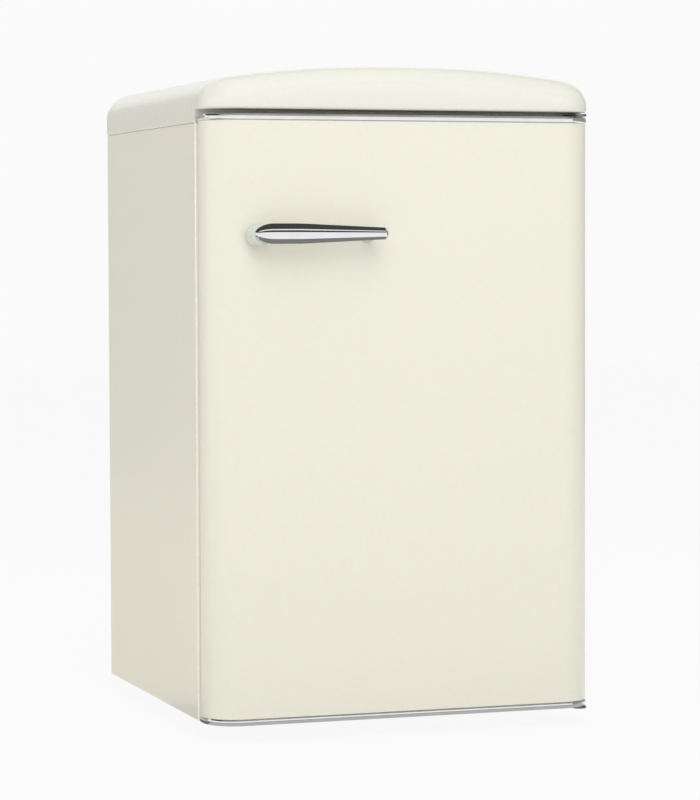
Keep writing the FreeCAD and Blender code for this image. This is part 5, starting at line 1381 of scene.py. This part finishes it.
LAMPS = (
    Lamp("key", (-0.6, -2.6, 2.9), 0.45, 2.2, 38.0),
    Lamp("front", (1.2, -3.6, 1.2), 0.42, 2.2, 20.5),
    Lamp("left", (-3.2, 0.1, 1.1), 0.5, 1.8, 18.4),
    Lamp("right", (3.2, 0.6, 1.8), 0.45, 2.0, 6.0),
    Lamp("top", (0.0, -0.4, 2.9), 0.45, 2.0, 12.0),
)
CARDS = (
    Card("dark_ceiling", (-7.0, -5.4, 3.05), (7.0, 2.0, 3.05), 0.06),
    Card("light_strip", (-5.0, -3.17, 3.0), (5.0, -2.18, 3.0), 1.0),
    Card("front_floor_card", (-1.6, -0.87, 0.001), (1.6, -0.42, 0.001), 0.22),
    Card("near_floor_card", (-1.6, -0.42, 0.001), (1.6, -0.2, 0.001), 0.50),
    Card("left_floor_card", (-1.6, -0.2, 0.001), (-0.28, 0.12, 0.001), 0.18),
    Card("rear_floor_card", (-9.0, 0.12, 0.001), (-0.28, 4.2, 0.001), 0.80, WARM),
    Card("rear_low_card", (-9.0, 4.2, -0.1), (-0.9, 4.2, 1.3), 0.44, WARM),
    Card("rear_mid_card", (-9.0, 4.2, 1.3), (-0.9, 4.2, 1.9), 0.43, WARM),
    Card("rear_high_card", (-9.0, 4.2, 1.9), (-0.9, 4.2, 4.0), 0.42, WARM),
    Card("right_card", (4.2, -3.4, -0.1), (4.2, 4.0, 4.0), 0.32),
)


@dataclass
class Studio:
    """The floor, the light and the camera."""

    camera_offset: Point = (-1.358, -3.882, 0.6305)
    yaw: float = -18.49
    pitch: float = -2.883
    roll: float = -0.199
    lens: float = 136.65
    sensor: float = 36.0
    sight: float = 100.0
    ambient: float = 0.55
    backdrop: float = 0.955
    floor_reach: float = 12.0
    floor_drop: float = 0.5 * MM
    floor_tone: float = 0.9
    floor_glow: float = 0.98
    floor_share: float = 0.93

    def build(self) -> None:
        """Set up the studio."""
        scene = bpy.context.scene
        scene.view_settings.view_transform = "Standard"
        self._world(scene)
        self._floor()
        for fitting in LAMPS + CARDS:
            fitting.hang()
        self._camera(scene)

    def _world(self, scene: Scene) -> None:
        """Make a world that is white to look at and soft as a light.

        Args:
            scene: The scene that it surrounds.
        """
        world = bpy.data.worlds.new("studio")
        scene.world = world
        world.use_nodes = True
        tree = world.node_tree
        tree.nodes.clear()
        lit, seen = [
            set_inputs(tree.nodes.new("ShaderNodeBackground"), {"Color": WHITE, "Strength": strength})
            for strength in (self.ambient, self.backdrop)
        ]
        out = tree.nodes.new("ShaderNodeOutputWorld")
        self._mix(tree, self._seen_rays(tree), lit, seen, out)

    def _seen_rays(self, tree: NodeTree) -> NodeSocket:
        """Join the rays that show the background: straight, mirrored and through glass.

        Args:
            tree: The nodes to add to.

        Returns:
            The socket that is one for such a ray.
        """
        path = tree.nodes.new("ShaderNodeLightPath")
        rays = path.outputs["Is Camera Ray"]
        for other in ("Is Glossy Ray", "Is Transmission Ray"):
            either = tree.nodes.new("ShaderNodeMath")
            either.operation = "MAXIMUM"
            tree.links.new(rays, either.inputs[0])
            tree.links.new(path.outputs[other], either.inputs[1])
            rays = either.outputs[0]
        return rays

    def _mix(
        self, tree: NodeTree, share: NodeSocket, first: Node,
        second: Node, out: Node,
    ) -> None:
        """Mix two shaders into an output.

        Args:
            tree: The nodes to add to.
            share: The socket with the second shader's share.
            first: The first shader.
            second: The second shader.
            out: The output.
        """
        mix = tree.nodes.new("ShaderNodeMixShader")
        for place, source in enumerate((share, first.outputs[0], second.outputs[0])):
            tree.links.new(source, mix.inputs[place])
        tree.links.new(mix.outputs[0], out.inputs["Surface"])

    def _floor(self) -> None:
        """Lay a plain pale floor."""
        reach, tone = self.floor_reach, self.floor_tone
        plan = ((-reach, -reach), (reach, -reach), (reach, reach), (-reach, reach))
        corners = [Vector((x, y, -self.floor_drop)) for x, y in plan]
        floor = mesh_object("studio_floor", corners, [[0, 1, 2, 3]])
        made = bpy.data.materials.new("studio_floor")
        made.use_nodes = True
        tree = made.node_tree
        plain = set_inputs(
            tree.nodes["Principled BSDF"], {"Base Color": (tone, tone, tone, 1.0), "Roughness": MATT}
        )
        glow = set_inputs(
            tree.nodes.new("ShaderNodeEmission"), {"Color": WHITE, "Strength": self.floor_glow}
        )
        share = set_inputs(tree.nodes.new("ShaderNodeMath"), {1: self.floor_share})
        share.operation = "MULTIPLY"
        tree.links.new(self._seen_rays(tree), share.inputs[0])
        self._mix(tree, share.outputs[0], plain, glow, tree.nodes["Material Output"])
        floor.data.materials.append(made)

    def _camera(self, scene: Scene) -> None:
        """Stand the camera at the photograph's angle.

        Args:
            scene: The scene that it looks at.
        """
        low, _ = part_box("cabinet_wrap")
        data = bpy.data.cameras.new("camera")
        data.sensor_width = self.sensor
        data.lens = self.lens
        data.clip_end = self.sight
        camera = linked("camera", data)
        x, y, z = self.camera_offset
        turn = (
            Matrix.Rotation(math.radians(self.yaw), 4, "Z")
            @ Matrix.Rotation(math.radians(90.0 + self.pitch), 4, "X")
            @ Matrix.Rotation(math.radians(self.roll), 4, "Z")
        )
        camera.matrix_world = Matrix.Translation(Vector((x, low.y + y, low.z + z))) @ turn
        scene.camera = camera


def main() -> None:
    """Build every sub-assembly in order."""
    logging.basicConfig(level=logging.INFO, format="%(name)s: %(message)s")
    for assembly in (Cabinet(), Lid(), Door(), Handle(), Hinges(), Inside(), Standing(), Cooling()):
        LOG.info("building %s", type(assembly).__name__)
        assembly.build()
    Studio().build()


if __name__ == "__main__":
    main()
